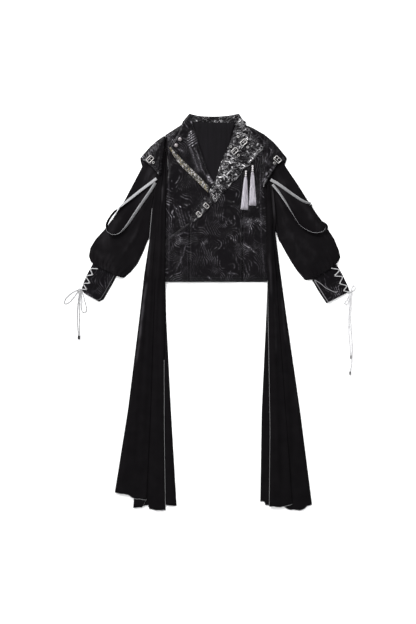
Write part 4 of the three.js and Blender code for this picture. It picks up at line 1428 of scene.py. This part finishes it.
# The way across a streamer's cloth, from its outer side: (share of the width, level, hem in millimetres).
# Where the share stays and the level changes, the cloth folds under or over itself. Level 0 is the lowest.
STREAMERS = {
    "right": {
        "top": (612, 612),
        "below": [(0.64, 0, -672), (0.84, 0, -676), (1.0, 0, -678)],
        "over": [
            (0.0, 2, -631), (0.22, 2, -640), (0.35, 2, -654), (0.52, 2, -656), (0.52, 1, -656),
            (0.46, 1, -683), (0.33, 1, -685), (0.33, 0, -685), (0.46, 0, -677), (0.555, 0, -676),
            (0.575, 0, -690), (0.7, 0, -693), (0.82, 0, -694),
        ],
        "free_edge": [(-175, 300), (-176.5, 0), (-179.5, -168), (-179, -400), (-175, -694)],
    },
    "left": {
        "top": (494, 468),
        "below": [(0.62, 0, -670), (0.845, 0, -675), (0.9, 0, -675), (0.915, 0, -664), (1.0, 0, -663)],
        "over": [
            (0.0, 0, -673), (0.09, 0, -679), (0.17, 0, -690), (0.27, 0, -694), (0.47, 0, -690),
            (0.54, 0, -682), (0.54, 1, -682), (0.39, 1, -672), (0.39, 2, -672), (0.55, 2, -681),
            (0.68, 2, -682), (0.83, 2, -679),
        ],
        "free_edge": [(180, 300), (181, 160), (182, 105), (184, -21), (186, -105), (191, -411), (188, -680)],
    },
}
HEM_WIDTH = 0.2  # about
HEM_WAVES_FROM = 0.72  # the share of its length from which a streamer waves more
SEWN_ROWS = 24  # rows over which it comes away from where it is sewn on
LEVEL = 1.4 * MM  # height of one layer of a pleat over the next
STREAMER_ROWS = 150
COLUMN = 5.5 * MM  # width of a column at the hem
STREAMER_CREASES = {
    "right": [
        (-214, 300, -236, -100, 7, 3.6), (-236, -100, -262, -560, 11, 4.2), (-200, 200, -214, -120, 6, 3.0),
        (-257, 0, -292, -560, 12, 4.4), (-238, 160, -262, -200, 7, 2.6), (-286, -200, -322, -600, 11, 3.6),
        (-190, 420, -196, 100, 5, 3.0), (-186, 100, -190, -300, 7, 3.0), (-208, -120, -206, -640, 9, 3.8),
        (-190, -300, -186, -660, 8, 3.0), (-176, 60, -168, -300, 5, 2.4), (-164, -280, -152, -640, 7, 3.2),
        (-176, 600, -178, 470, 3, 2.4), (-240, -560, -250, -690, 8, 3.0),
    ],
    "left": [
        (206, 340, 226, -60, 7, 3.4), (243, -188, 263, -523, 10, 4.2), (228, 60, 244, -200, 8, 3.0),
        (262, 0, 300, -560, 12, 4.2), (232, 120, 262, -160, 8, 2.6), (290, -240, 322, -600, 11, 3.6),
        (190, 380, 200, 60, 5, 3.0), (200, 40, 214, -300, 8, 3.2), (214, -300, 220, -640, 9, 3.6),
        (196, -380, 202, -660, 7, 2.6), (180, 60, 172, -300, 5, 2.4), (168, -320, 166, -640, 6, 2.6),
        (250, -400, 256, -640, 8, 3.0),
    ],
}
# Where a fold's crest catches the light, as for the creases but with an amount.
STREAMER_GLINTS = {
    "right": [
        (-221, 368, -231, 252, 3, 0.5), (-184, 442, -187, 381, 3, 0.5), (-228, 260, -238, 115, 5, 0.45),
        (-240, 103, -251, 37, 4, 1.0), (-251, 37, -260, -37, 4.5, 1.1), (-260, -37, -266, -98, 4.5, 1.1),
        (-266, -98, -277, -177, 4.5, 0.6),
    ],
    "left": [
        (200, 440, 206, 330, 4, 0.5), (232, 60, 244, -100, 5, 0.3), (188, 200, 196, 60, 5, 0.4),
        (206, 40, 214, -160, 5, 0.3), (262, -60, 290, -360, 7, 0.2),
    ],
}
LAPS = {"right": (395, 8), "left": (290, 8)}  # above which height it laps over the sleeve, and by how much
SECTIONS = 60  # taken of a streamer's solid
TOP_CUT = {"right": 2 * MM, "left": 36 * MM}  # how far below its upper end the first one is
BOTTOM_CUT = 70 * MM  # how far above its lower end the last one is


def side_edges(side):
    """A streamer's outer and inner edge at any height y, from its solid and straight on past its ends."""
    node = f"streamer_{side}"
    low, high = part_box(node)
    lap_from, lap_width = LAPS[side]
    ys, outer, inner = [], [], []
    bottom, top = low.y + BOTTOM_CUT, high.y - TOP_CUT[side]
    for k in range(SECTIONS):
        y = bottom + (top - bottom) * k / (SECTIONS - 1)
        ends = section(node, (0, y), (1, 0))
        ys.append(y)
        lap = lap_width * MM * ease((y / MM - lap_from) / 30) * ease((high.y - y) / (25 * MM))
        outer.append(ends[0 if side == "right" else 1] + SIGN[side] * lap)
        inner.append(ends[1 if side == "right" else 0])

    def at(y):
        if y < ys[0]:
            slope = (y - ys[0]) / (ys[6] - ys[0])
            return outer[0] + slope * (outer[6] - outer[0]), inner[0] + slope * (inner[6] - inner[0])
        if y > ys[-1]:
            slope = (y - ys[-1]) / (ys[-1] - ys[-7])
            return outer[-1] + slope * (outer[-1] - outer[-7]), inner[-1] + slope * (inner[-1] - inner[-7])
        return float(np.interp(y, ys, outer)), float(np.interp(y, ys, inner))

    return at


def way_across(stops, width):
    """Columns (share, level, hem, outward) along the cloth's way across. Folds are half circles."""
    columns = []
    for (s0, l0, h0), (s1, l1, h1) in zip(stops, stops[1:]):
        if s0 == s1:  # a fold
            before = columns[-1][0] - columns[-3][0]
            outward = math.copysign(1, before)
            for k in (1, 2, 3):
                angle = math.pi * k / 4
                level = l0 + (l1 - l0) * (1 - math.cos(angle)) / 2
                columns.append((s0, level, h0, outward * math.sin(angle)))
            continue
        count = max(3, round(abs(s1 - s0) * width / COLUMN))
        for k in range(count + 1):
            t = k / count
            if columns and k == 0 and columns[-1][:2] == (s0, l0):
                continue
            columns.append((s0 + (s1 - s0) * t, l0 + (l1 - l0) * t, h0 + (h1 - h0) * t, 0.0))
    return columns


def streamer_spots(side, part, columns, seed):
    """Where the points of a streamer's cloth lie, row by row from its top edge to its hem.

    The last columns of the upper cloth end at the free edge.
    """
    spec = STREAMERS[side]
    edges = side_edges(side)
    last_fold = max(k for k, (a, b) in enumerate(zip(spec["over"], spec["over"][1:])) if a[0] == b[0])
    pinned, last = spec["over"][last_fold][0] + 0.08, spec["over"][-1][0]
    edge_x, edge_y = zip(*reversed(spec["free_edge"]))
    top_outer, top_inner = (y * MM for y in spec["top"])
    spots = []
    for i in range(STREAMER_ROWS):
        down = i / (STREAMER_ROWS - 1)
        for share, level, hem, outward in columns:
            top = top_outer + (top_inner - top_outer) * share
            sway = 2.2 * math.sin(share * 31 + seed) + 1.4 * math.sin(share * 67 + seed * 2)
            y = top + (hem * MM + sway * MM * 0.4 - top) * down
            outer, inner = edges(y)
            if part == "over" and share > pinned and level == columns[-1][1]:
                target = (float(np.interp(y / MM, edge_y, edge_x)) * MM - outer) / (inner - outer)
                share = pinned + (share - pinned) * (min(target, 1.0) - pinned) / (last - pinned)
            x = outer + (inner - outer) * share + outward * SIGN[side] * -0.9 * MM
            spots.append(Vector((x, y)))
    return spots


def streamer_waves(x, y, row, seed):
    """How far a streamer waves up at a point, in metres: soft ripples, and larger waves near the hem."""
    ripple = 0.9 * noise.noise(Vector((x * 26, y * 5, seed))) + 0.5
    near_hem = ease((row / STREAMER_ROWS - HEM_WAVES_FROM) / (1 - HEM_WAVES_FROM))
    wave = 1.5 * near_hem * (0.5 + noise.noise(Vector((x * 34, y * 2, seed + 3))))
    return max(0.0, ripple + wave) * MM


def streamer_sheet(side, part, seed):
    """One pleated cloth of a streamer. Returns the object and its grid of upper points, row by row."""
    columns = way_across(STREAMERS[side][part], HEM_WIDTH)
    width = len(columns)
    spots = streamer_spots(side, part, columns, seed)
    faces = grid_faces(STREAMER_ROWS, width)
    under = settle(spots, faces, lift=0.5 * MM, slope=0.22, rounds=40, soften=10)
    points = []
    for k, ((x, y), z) in enumerate(zip(spots, under)):
        row, column = divmod(k, width)
        sewn = 0.25 + 0.75 * ease(row / SEWN_ROWS)
        rim = ease((0.35 + min(column, width - 1 - column)) / 3)
        up = (relief(x, y, STREAMER_CREASES[side]) + streamer_waves(x, y, row, seed)) * sewn * rim
        points.append(Vector((x, y, z + columns[column][1] * LEVEL + CREPE + up)))
    faces = turned_up(points, faces, (STREAMER_ROWS // 2) * width + 3)
    made = thick(f"streamer_{side}_{part}", points, faces, CREPE, "crepe")
    bright = [lines_value(p.x, p.y, STREAMER_GLINTS[side]) for p in points]
    paint(made, "glint", bright + bright)
    return made, [points[i * width : (i + 1) * width] for i in range(STREAMER_ROWS)]


SERGING = 0.85 * MM  # radius of the overlocked edge
SERGED_FROM = {"right": -165 * MM, "left": 114 * MM}  # above this height the free inner edge is turned under
OUTER_SERGING = {"right": (248 * MM, 368 * MM), "left": (0, 0)}  # the heights where the outer edge is serged


def serged_lines(side, low_grid, high_grid):
    """The overlocked edges: both hems, and parts of the upper cloth's sides."""
    lines = [low_grid[-1], high_grid[-1]]
    lines.append([row[-1] for row in high_grid if row[-1].y < SERGED_FROM[side]])
    low, high = OUTER_SERGING[side]
    lines.append([row[0] for row in high_grid if low < row[0].y < high])
    return [line for line in lines if line]


def add_streamers():
    for side in SIDES:
        seed = 40 + SIGN[side]
        below, low_grid = streamer_sheet(side, "below", seed)
        PILE.add(below)
        over, high_grid = streamer_sheet(side, "over", seed + 7)
        PILE.add(over)
        belongs(over, f"streamer_{side}", slot="crepe")
        belongs(below, slot="crepe")
        parts = []
        for line in serged_lines(side, low_grid, high_grid):
            lowered = [p - Vector((0, 0, CREPE / 2)) for p in line]
            parts.append(tube(lowered, SERGING, 6, flat=0.7))
        serging = joined(f"streamer_{side}_serging", parts, "serging")
        belongs(serging, slot="tape")


# ---------------------------------------------------------------- ribbon loops

# The loops' routes, in millimetres, from the cap out over the sleeve and back.
TAPES = {
    "right": [
        (-206, 466), (-229, 449), (-268, 420), (-306, 390), (-343, 360), (-366, 334), (-380, 306),
        (-378, 284), (-364, 272), (-345, 271), (-328, 281), (-308, 304), (-281, 344), (-256, 381),
        (-232, 416), (-209, 451),
    ],
    "left": [
        (193, 462), (219, 447), (250, 425), (280, 404), (305, 388), (322, 381.5), (333, 380), (335, 375),
        (331, 367), (334, 352), (350, 332), (362, 318), (374, 312), (385, 305), (389, 296), (384, 286),
        (364, 277.5), (338, 279), (316, 289), (296, 304), (275, 335), (258, 364), (243, 388), (221, 420),
        (200, 446),
    ],
}
# How far the tape has turned over, in degrees, at shares of its length. Past 90 its black back shows.
TAPE_TILT = {
    "right": [
        (0, 24), (0.2, 32), (0.29, 50), (0.32, 76), (0.345, 128), (0.45, 134), (0.49, 112), (0.53, 95),
        (0.57, 88), (0.62, 72), (0.68, 48), (0.8, 36), (1, 30),
    ],
    "left": [
        (0, 22), (0.12, 30), (0.2, 40), (0.285, 50), (0.3, 90), (0.315, 180), (0.472, 180), (0.493, 158),
        (0.513, 128), (0.54, 104), (0.57, 92), (0.66, 88), (0.76, 84), (0.82, 66), (0.88, 48), (1, 34),
    ],
}
# The share of its length over which the tape goes round under the sleeve, on the table.
TAPE_UNDER = {"right": (2, 2), "left": (0.296, 0.5)}
TAPE_STEP = 3 * MM
TAPE_LIFT = 0.9 * MM  # from what it lies on to its middle
TAPE_CUP = 0.5 * MM  # how much higher its middle is than its edges


def tape_heights(line, side):
    """Height of what lies under each point of a tape, smoothed along it. It is 0 under the sleeve."""
    heights = [PILE.near(p.x, p.y, 4.5 * MM) for p in line]
    lowest = [PILE.near(p.x, p.y, 3 * MM) for p in line]
    for _ in range(12):
        padded = [heights[0], *heights, heights[-1]]
        heights = [max(low, sum(padded[k : k + 3]) / 3) for k, low in enumerate(lowest)]
    first, last = (share * (len(line) - 1) for share in TAPE_UNDER[side])
    heights = [0.0 if first < k < last else h for k, h in enumerate(heights)]
    nearby = [heights[max(k - 1, 0) : k + 2] for k in range(len(line))]
    return [sum(some) / len(some) for some in nearby]


def add_tapes():
    for side in SIDES:
        line = even_line(smooth_line(millimetres(TAPES[side])), TAPE_STEP)
        shares, tilts = zip(*TAPE_TILT[side])
        points, uvs = [], []
        for k, (centre, height) in enumerate(zip(line, tape_heights(line, side))):
            tilt = math.radians(float(np.interp(k / (len(line) - 1), shares, tilts)))
            ahead = line[min(k + 1, len(line) - 1)] - line[max(k - 1, 0)]
            sideways = Vector((-ahead.y, ahead.x, 0)).normalized()
            reach = sideways * math.cos(tilt) + Vector((0, 0, math.sin(tilt)))
            lift = height + TAPE_LIFT + TAPE_WIDTH / 2 * math.sin(tilt)
            for n in range(5):
                across = n / 4 - 0.5
                cup = TAPE_CUP * (1 - 4 * across * across)
                points.append(Vector((centre.x, centre.y, lift + cup)) + reach * across * TAPE_WIDTH)
                uvs.append((n / 4, k * TAPE_STEP))
        faces = turned_up(points, grid_faces(len(line), 5), 2)
        made = thick(
            f"ribbon_loop_{side}_tape", points, faces, 0.7 * MM, "braid", uvs=uvs, under="braid_back",
        )
        belongs(made, f"ribbon_loop_{side}", slot="tape")


# ---------------------------------------------------------------- straps, buckles and eyelets

BUCKLE_LENGTH = 16 * MM  # along the strap
BUCKLE_WIDTH = 23.5 * MM
BUCKLE_WIRE = 1.1 * MM  # radius
BUCKLE_CORNER = 2.4 * MM  # radius
STRAP_EYELET = (3.5 * MM, 0.85 * MM)  # radius, and its wire's
# The direction of each buckle's strap, in degrees, the buckle's size beside the largest, and where the
# strap's eyelets are along it, in millimetres.
BUCKLES = {
    "lapel_buckle_upper": (-47, 0.95, (-28, 22)),
    "lapel_buckle_lower": (-47, 0.95, (-20, 20)),
    "band_buckle_upper": (48, 0.78, ()),
    "band_buckle_lower": (48, 0.74, ()),
    "cap_buckle_right": (-45, 1.0, (17,)),
    "cap_buckle_left": (48, 1.0, (-17,)),
}


def rounded_frame(length, width, radius):
    """Corner-rounded rectangle, as points round it."""
    line = []
    for cx, cy, start in ((1, 1, 0), (-1, 1, 90), (-1, -1, 180), (1, -1, 270)):
        for k in range(5):
            angle = math.radians(start + 22.5 * k)
            x = cx * (length / 2 - radius) + radius * math.cos(angle)
            y = cy * (width / 2 - radius) + radius * math.sin(angle)
            line.append(Vector((x, y, 0)))
    return line


def placed(part, matrix):
    points, faces, uvs = part
    return [matrix @ p for p in points], faces, uvs


def eyelet(x, y, z, radius, wire):
    """A flat metal ring."""
    centre = Vector((x, y, z))
    turns = np.linspace(0, 2 * math.pi, 17)[:-1]
    line = [centre + Vector((radius * math.cos(turn), radius * math.sin(turn), 0)) for turn in turns]
    return tube(line, wire, 6, closed=True, flat=0.6)


def buckle_parts(size):
    """A buckle's frame, bar and prong, with its strap along X."""
    long, wide = BUCKLE_LENGTH * size, BUCKLE_WIDTH * size
    outer = tube(rounded_frame(long, wide, BUCKLE_CORNER), BUCKLE_WIRE, 8, closed=True, flat=0.8)
    half = wide / 2 - 1.5 * MM
    bar = tube([Vector((-2 * MM, s * half / 4, 0.0)) for s in range(-4, 5)], 0.5 * MM, 6)
    reach = long / 2 + 0.6 * MM
    prong_line = [
        Vector((-2.8 * MM, 0, 0.4 * MM)),
        Vector((-1.4 * MM, 0, 1.1 * MM)),
        Vector((reach * 0.5, 0, 1.5 * MM)),
        Vector((reach, 0, 1.7 * MM)),
    ]
    prong = tube(prong_line, [0.45 * MM, 0.5 * MM, 0.45 * MM, 0.3 * MM], 6)
    return outer, bar, prong


def add_buckles():
    for node, (angle, size, eyelets) in BUCKLES.items():
        low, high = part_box(node)
        middle = (low + high) / 2
        turn = Matrix.Rotation(math.radians(angle), 4, "Z")
        z = PILE.near(middle.x, middle.y, 6 * MM) + BUCKLE_WIRE * 0.7
        matrix = Matrix.Translation((middle.x, middle.y, z)) @ turn
        parts = [placed(part, matrix) for part in buckle_parts(size)]
        for offset in eyelets:
            spot = middle + turn @ Vector((offset * MM, 0, 0))
            z = PILE.near(spot.x, spot.y) + 0.5 * MM
            parts.append(eyelet(spot.x, spot.y, z, *STRAP_EYELET))
        made = joined(f"{node}_metal", parts, "nickel")
        belongs(made, node, slot="metal")


def add_straps():
    for name in ("upper", "lower"):
        strap = panel(
            f"lapel_strap_{name}", "foil_faint", thickness=1.2 * MM, step=2.6 * MM, crinkle=1.0,
            rise=3 * MM, bulge=0.5, seed=50, slope=0.5,
        )
        belongs(strap, f"lapel_strap_{name}", slot="foil")


# ---------------------------------------------------------------- pearls and tassels


def ball(centre, radius, tall, sides=20):
    """A pearl, `tall` times as high as it is wide."""
    profile = []
    for k in range(13):
        angle = math.pi * (0.02 + 0.96 * k / 12)
        profile.append((radius * math.sin(angle), -radius * tall * math.cos(angle)))
    return turned(profile, centre, sides)


PEARL_TALL = 0.72  # a pearl button's height beside its width
BEAD_TALL = 0.86


def add_pearls():
    for name in ("upper", "lower"):
        low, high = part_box(f"pearl_button_{name}")
        middle = (low + high) / 2
        radius = (high.x - low.x) / 2
        top = PILE.near(middle.x, middle.y, 4 * MM)
        centre = Vector((middle.x, middle.y, top + radius * PEARL_TALL))
        profile = [(3.2 * MM, -radius * PEARL_TALL), (3.4 * MM, -radius * 0.4), (2.6 * MM, -radius * 0.3)]
        parts = [ball(centre, radius, PEARL_TALL), turned(profile, centre, 16)]
        made = joined(f"pearl_button_{name}_ball", parts, "pearl")
        belongs(made, f"pearl_button_{name}", slot="pearl")


def end_points(node):
    """Middle of a node's upper end and of its lower end, seen from above."""
    spots = np.array([v.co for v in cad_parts[node].data.vertices])
    ends = []
    for value in (spots[:, 1].max(), spots[:, 1].min()):
        close = spots[np.abs(spots[:, 1] - value) < 1.2 * MM]
        ends.append(Vector((close[:, 0].mean(), value, 0)))
    return ends


STRANDS = 70  # of thread in a tassel's skirt
STRAND = 0.62 * MM  # radius


def bead_string(name):
    """Three pearls in a row, from the strap to the tassel's skirt."""
    top, foot = end_points(f"tassel_beads_{name}")
    step = (foot - top) / 3
    radius = step.length / 2
    beads = []
    for k in range(3):
        spot = top + step * (k + 0.5)
        spot.z = PILE.near(spot.x, spot.y) + radius
        beads.append(ball(spot, radius * 0.98, BEAD_TALL, 16))
    return beads


def strand(neck, hang, reach, supports, lane, layer):
    """One thread of a skirt, `reach` to its side at the hem.

    lane is its place across, from -1 to 1, and layer its depth in the skirt, from 0 to 1.
    """
    across = Vector((-hang.y, hang.x, 0)).normalized()
    crown = math.sqrt(max(0.0, 1 - lane * lane))
    line, radii = [], []
    for n, support in enumerate(supports):
        t = n / (len(supports) - 1)
        spread = reach * (0.32 + 0.68 * t**0.75) * lane
        wave = 0.4 * MM * math.sin(7 * t + 9 * layer) * t
        spot = neck + hang * t + across * (spread + wave)
        tall = (3.2 + 1.2 * t) * MM * crown * (0.25 + 0.75 * layer) + 0.7 * MM
        line.append(Vector((spot.x, spot.y, support + tall * (1 if n else 0.85))))
        radii.append((STRAND if n else 0.4 * MM) * (1 + 0.35 * t))
    return tube(line, radii, 5)


def tassel_binding(neck, hang, floor):
    """Four turns of thread round the skirt's neck."""
    across = Vector((-hang.y, hang.x, 0)).normalized()
    turns = []
    for k in range(4):
        spot = neck + hang * (0.03 + 0.012 * k)
        loop = []
        for angle in np.linspace(0, 2 * math.pi, 13)[:-1]:
            up = floor + 2.6 * MM + 2.4 * MM * math.sin(angle)
            loop.append(spot + across * math.cos(angle) * 3.1 * MM + Vector((0, 0, up)))
        turns.append(tube(loop, 0.7 * MM, 5, closed=True))
    return turns


def add_tassels():
    for name in ("inner", "outer"):
        string = joined(f"tassel_beads_{name}_pearls", bead_string(name), "bead")
        belongs(string, f"tassel_beads_{name}", slot="pearl")
        neck, tip = end_points(f"tassel_skirt_{name}")
        hang = tip - neck
        low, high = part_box(f"tassel_skirt_{name}")
        half = (high.x - low.x) / 2
        supports = [PILE.near(neck.x + hang.x * n / 8, neck.y + hang.y * n / 8, 5 * MM) for n in range(9)]
        rng = random.Random(60 + len(name))
        parts = []
        for k in range(STRANDS):
            lane = (k + 0.5) / STRANDS * 2 - 1
            layer = rng.random()
            length = 1 + rng.uniform(-0.012, 0.012)
            parts.append(strand(neck, hang * length, half * 0.97, supports, lane, layer))
        parts += tassel_binding(neck, hang, supports[0])
        skirt = joined(f"tassel_skirt_{name}_silk", parts, "silk")
        belongs(skirt, f"tassel_skirt_{name}", slot="silk")


# ---------------------------------------------------------------- laces

LACE = 3.2 * MM  # diameter
LACE_Z = 1.7  # height of its middle when it lies on the table, in millimetres
KNOT_REACH = 4.7  # from the knot's middle to where a lace leaves it, in millimetres
# The laces' routes, in millimetres. A loop leaves its knot in one direction and comes back in another, and
# an end leaves it in one, in degrees.
LACES = {
    "right": {
        "knot": (-474.4, 80),
        "lacing": [
            (-411, 151), (-437, 150), (-431, 131), (-452, 125), (-441, 102), (-462, 99), (-452, 80),
            (-469.3, 80),
        ],
        "loops": {
            "outer": (190, 222, [
                (-498, 70), (-516, 56), (-529, 39), (-528, 30), (-517, 31), (-504, 42), (-490, 60),
            ]),
            "inner": (340, 314, [
                (-463, 60), (-457, 36), (-452, 15), (-454, 1), (-463, -1), (-468, 6), (-468, 40),
            ]),
        },
        "ends": {
            "short": (252, [(-479, 50), (-483, 15), (-484, -25), (-482, -60), (-480, -83)]),
            "long": (283, [(-475, 45), (-476, 10), (-476, -25), (-475.5, -60), (-475.5, -83)]),
        },
    },
    "left": {
        "knot": (474.4, 70),
        "lacing": [
            (406, 153), (433, 146), (419, 127), (444, 122), (436, 100), (459, 91), (450, 75), (469.4, 70),
        ],
        "loops": {
            "outer": (80, 30, [(477, 86), (482, 93), (488, 89), (486, 79)]),
            "inner": (215, 245, [(462, 49), (454, 37), (451, 29), (457, 26), (464, 36)]),
        },
        "ends": {
            "short": (264, [(469, 30), (466, -10), (465, -50), (467, -90), (470, -125), (473, -152)]),
            "long": (290, [
                (474, 30), (472, -10), (473, -50), (476, -95), (478, -140), (475, -180), (471, -208),
            ]),
        },
    },
}


def meet(knot, degrees):
    """Where a lace leaves its knot."""
    angle = math.radians(degrees)
    return (knot[0] + KNOT_REACH * math.cos(angle), knot[1] + KNOT_REACH * math.sin(angle))


def lace_object(name, line, nodes, look):
    points, faces, uvs = tube(even_line(line, 2.2 * MM), LACE / 2, 8)
    made = new_object(name, points, faces, look, uvs)
    return belongs(made, *nodes, slot="cord")


KNOT_SIZE = 3.1 * MM  # radius of its round, to the lace's middle
KNOT_RISE = 1.5 * MM  # how far the lace goes over and under itself
KNOT_LACE = 1.15 * MM  # radius of the lace, which is pulled tight


def add_knot(side):
    """The bow's knot: the lace wound through itself."""
    centre = Vector((*LACES[side]["knot"], 0)) * MM
    line = []
    for k in range(48):
        t = 2 * math.pi * k / 48
        x = (math.sin(t) + 2 * math.sin(2 * t)) / 3
        y = (math.cos(t) - 2 * math.cos(2 * t)) / 3
        line.append(centre + Vector((x * KNOT_SIZE, y * KNOT_SIZE, KNOT_SIZE - KNOT_RISE * math.sin(3 * t))))
    points, faces, uvs = tube(line, KNOT_LACE, 8, closed=True)
    made = new_object(f"lace_knot_{side}_wound", points, faces, "lace", uvs)
    belongs(made, f"lace_knot_{side}", slot="cord")


AGLET_RADIUS = 2.2 * MM
# (share of the length, share of the radius), with two grooves.
AGLET_PROFILE = [
    (0, 0.55), (0.04, 0.8), (0.1, 0.95), (0.3, 1), (0.34, 0.9), (0.38, 1), (0.86, 1), (0.9, 0.9), (0.94, 1),
    (1, 0.92),
]


def aglet_object(name, side):
    low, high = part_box(f"aglet_{name}_{side}")
    middle = (low + high) / 2
    middle.z = AGLET_RADIUS + 0.1 * MM
    profile = [(AGLET_RADIUS * wide, (share - 0.5) * (high.y - low.y)) for share, wide in AGLET_PROFILE]
    points, faces, uvs = turned(profile, middle, 16, axis="Y")
    made = new_object(f"aglet_{name}_{side}_tip", points, faces, "aglet", uvs)
    return belongs(made, f"aglet_{name}_{side}", slot="aglet")


def add_laces():
    """Each cuff's knot, with its two loops and its two ends."""
    for side in SIDES:
        spec = LACES[side]
        add_knot(side)
        for name, (start, end, route) in spec["loops"].items():
            stops = [meet(spec["knot"], start), *route, meet(spec["knot"], end)]
            line = smooth_line(millimetres(stops, LACE_Z), 12)
            node = f"lace_loop_{name}_{side}"
            made = lace_object(f"{node}_cord", line, [node], f"lace_loose_{side}")
        for name, (start, route) in spec["ends"].items():
            line = smooth_line(millimetres([meet(spec["knot"], start), *route], LACE_Z), 12)
            node = f"lace_end_{name}_{side}"
            made = lace_object(f"{node}_cord", line, [node], f"lace_loose_{side}")
            tip = aglet_object(name, side)


LACING_EYELET = (2.4 * MM, 0.8 * MM)  # radius, and its wire's


def add_lacing():
    """The lace over each cuff and through its eyelets, and the eyelets."""
    for side in SIDES:
        route = LACES[side]["lacing"]
        line = even_line(smooth_line(millimetres(route), 12), 2 * MM)
        heights = [PILE.near(p.x, p.y, 1.5 * MM) + LACE / 2 for p in line]
        for _ in range(3):
            beside = zip([heights[0], *heights], [*heights[1:], 0])
            heights = [max(h, (a + b) / 2) for h, (a, b) in zip(heights, beside)]
        raised = [Vector((p.x, p.y, max(z, 2 * MM))) for p, z in zip(line, heights)]
        lace_object(f"lacing_{side}_cord", raised, [f"lacing_{side}"], "lace")
        parts = []
        for spot in millimetres(route[1:-1]):
            z = PILE.near(spot.x, spot.y, 1 * MM) + 0.4 * MM
            parts.append(eyelet(spot.x, spot.y, z, *LACING_EYELET))
        eyelets = joined(f"cuff_eyelets_{side}", parts, "nickel")
        belongs(eyelets, slot="metal")


# ---------------------------------------------------------------- stitching

STITCH_PITCH = 4 * MM
STITCH_LENGTH = 2.8 * MM
STITCH_RADIUS = 0.32 * MM
STITCH_SHAPE = ((-1, -0.25), (-0.4, 0.1), (0.4, 0.1), (1, -0.25))  # (share of half its length, mm up)


def stitch_line(line, made, parts):
    """Adds a row of stitches along a line on a piece, where nothing covers it."""
    own = Pile()
    own.add(made)
    spots = even_line(line, STITCH_PITCH)
    for a, b in zip(spots, spots[1:]):
        step = (b - a).normalized() * STITCH_LENGTH / 2
        middle = (a + b) / 2
        if PILE.top(middle.x, middle.y) - own.top(middle.x, middle.y) > 0.6 * MM:
            continue
        shape = []
        for share, up in STITCH_SHAPE:
            spot = middle + step * share
            shape.append(Vector((spot.x, spot.y, own.top(spot.x, spot.y) + up * MM)))
        parts.append(tube(shape, [STITCH_RADIUS * wide for wide in (0.5, 1, 1, 0.5)], 5))


def inset(loop, distance):
    """A closed outline moved in by a distance."""
    moved = []
    area = sum(a.x * b.y - b.x * a.y for a, b in zip(loop, [*loop[1:], loop[0]]))
    sense = 1 if area > 0 else -1
    for k, here in enumerate(loop):
        way = loop[(k + 1) % len(loop)] - loop[k - 1]
        normal = Vector((-way.y, way.x)).normalized() * sense
        moved.append((here + normal * distance).to_3d())
    return moved


# How far each panel's stitches are from its edge, in millimetres.
STITCHED = {
    "front_left": 5,
    "front_left_side": 5,
    "front_left_wrap": 5,
    "lapel_left": 5,
    "lapel_right": 5,
    "closure_band": 2.5,
    "cap_strap_right": 2,
    "cap_strap_left": 2,
    "lapel_strap_upper": 2,
    "lapel_strap_lower": 2,
}
HEM_STITCHES = 16 * MM  # from the lower edge


def add_stitching():
    parts = []
    for node, away in STITCHED.items():
        made = bpy.data.objects[f"{node}_cloth"]
        stitch_line(inset(rounded(outline(node), 4 * MM), away * MM), made, parts)
    for node in ("front_right", "front_left", "front_left_side"):
        low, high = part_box(node)
        made = bpy.data.objects[f"{node}_cloth"]
        y = low.y + HEM_STITCHES
        stitch_line([Vector((low.x, y, 0)), Vector((high.x, y, 0))], made, parts)
    belongs(joined("topstitching", parts, "stitch"), slot="jacquard")


# ---------------------------------------------------------------- studio


def soft_light(name, azimuth, elevation, distance, size, power):
    """A square soft light that faces the middle of the garment."""
    data = bpy.data.lights.new(name, "AREA")
    data.shape = "SQUARE"
    data.size = size
    data.energy = power
    made = bpy.data.objects.new(name, data)
    turn, rise = math.radians(azimuth), math.radians(elevation)
    toward = Vector((math.cos(turn) * math.cos(rise), math.sin(turn) * math.cos(rise), math.sin(rise)))
    made.location = toward * distance
    made.rotation_euler = toward.to_track_quat("Z", "Y").to_euler()
    bpy.context.scene.collection.objects.link(made)


RING = (22, 28, 35, 37, 27, 20, 18, 21)  # the ring lights' power, in watts
FLOOR_REACH = 6
FLOOR_Z = -0.4 * MM


def add_floor():
    mesh = bpy.data.meshes.new("floor")
    corners = [(x * FLOOR_REACH, y * FLOOR_REACH, FLOOR_Z) for x, y in ((-1, -1), (1, -1), (1, 1), (-1, 1))]
    mesh.from_pydata(corners, [], [(0, 1, 2, 3)])
    floor = bpy.data.objects.new("floor", mesh)
    bpy.context.scene.collection.objects.link(floor)
    look = Look("pale_floor")
    look.finish(Base_Color=(0.93, 0.93, 0.935, 1), Roughness=0.9, Specular_IOR_Level=0.0)
    mesh.materials.append(look.material)


def add_studio():
    """The floor, a ring of soft lights with a key and a top light, and a dim world."""
    add_floor()
    for k, power in enumerate(RING):
        soft_light(f"ring_{k}", 45 * k + 20, 38, 3.6, 1.0, power)
    soft_light("key", 122, 29, 4.2, 1.3, 220)
    soft_light("top", 300, 68, 3.6, 0.9, 14)
    world = bpy.data.worlds.new("studio")
    world.use_nodes = True
    world.node_tree.nodes["Background"].inputs["Color"].default_value = (0.06, 0.06, 0.062, 1)
    world.node_tree.nodes["Background"].inputs["Strength"].default_value = 1
    bpy.context.scene.world = world
    bpy.context.scene.view_settings.view_transform = "Standard"


# ---------------------------------------------------------------- the set

add_camera()
add_laces()
for each in SIDES:
    add_cap_back(each)
add_bodice()
add_sleeves()
add_streamers()
add_collar()
add_caps()
add_straps()
add_buckles()
add_pearls()
add_tassels()
add_tapes()
add_lacing()
add_stitching()
add_studio()

bpy.context.view_layer.update()
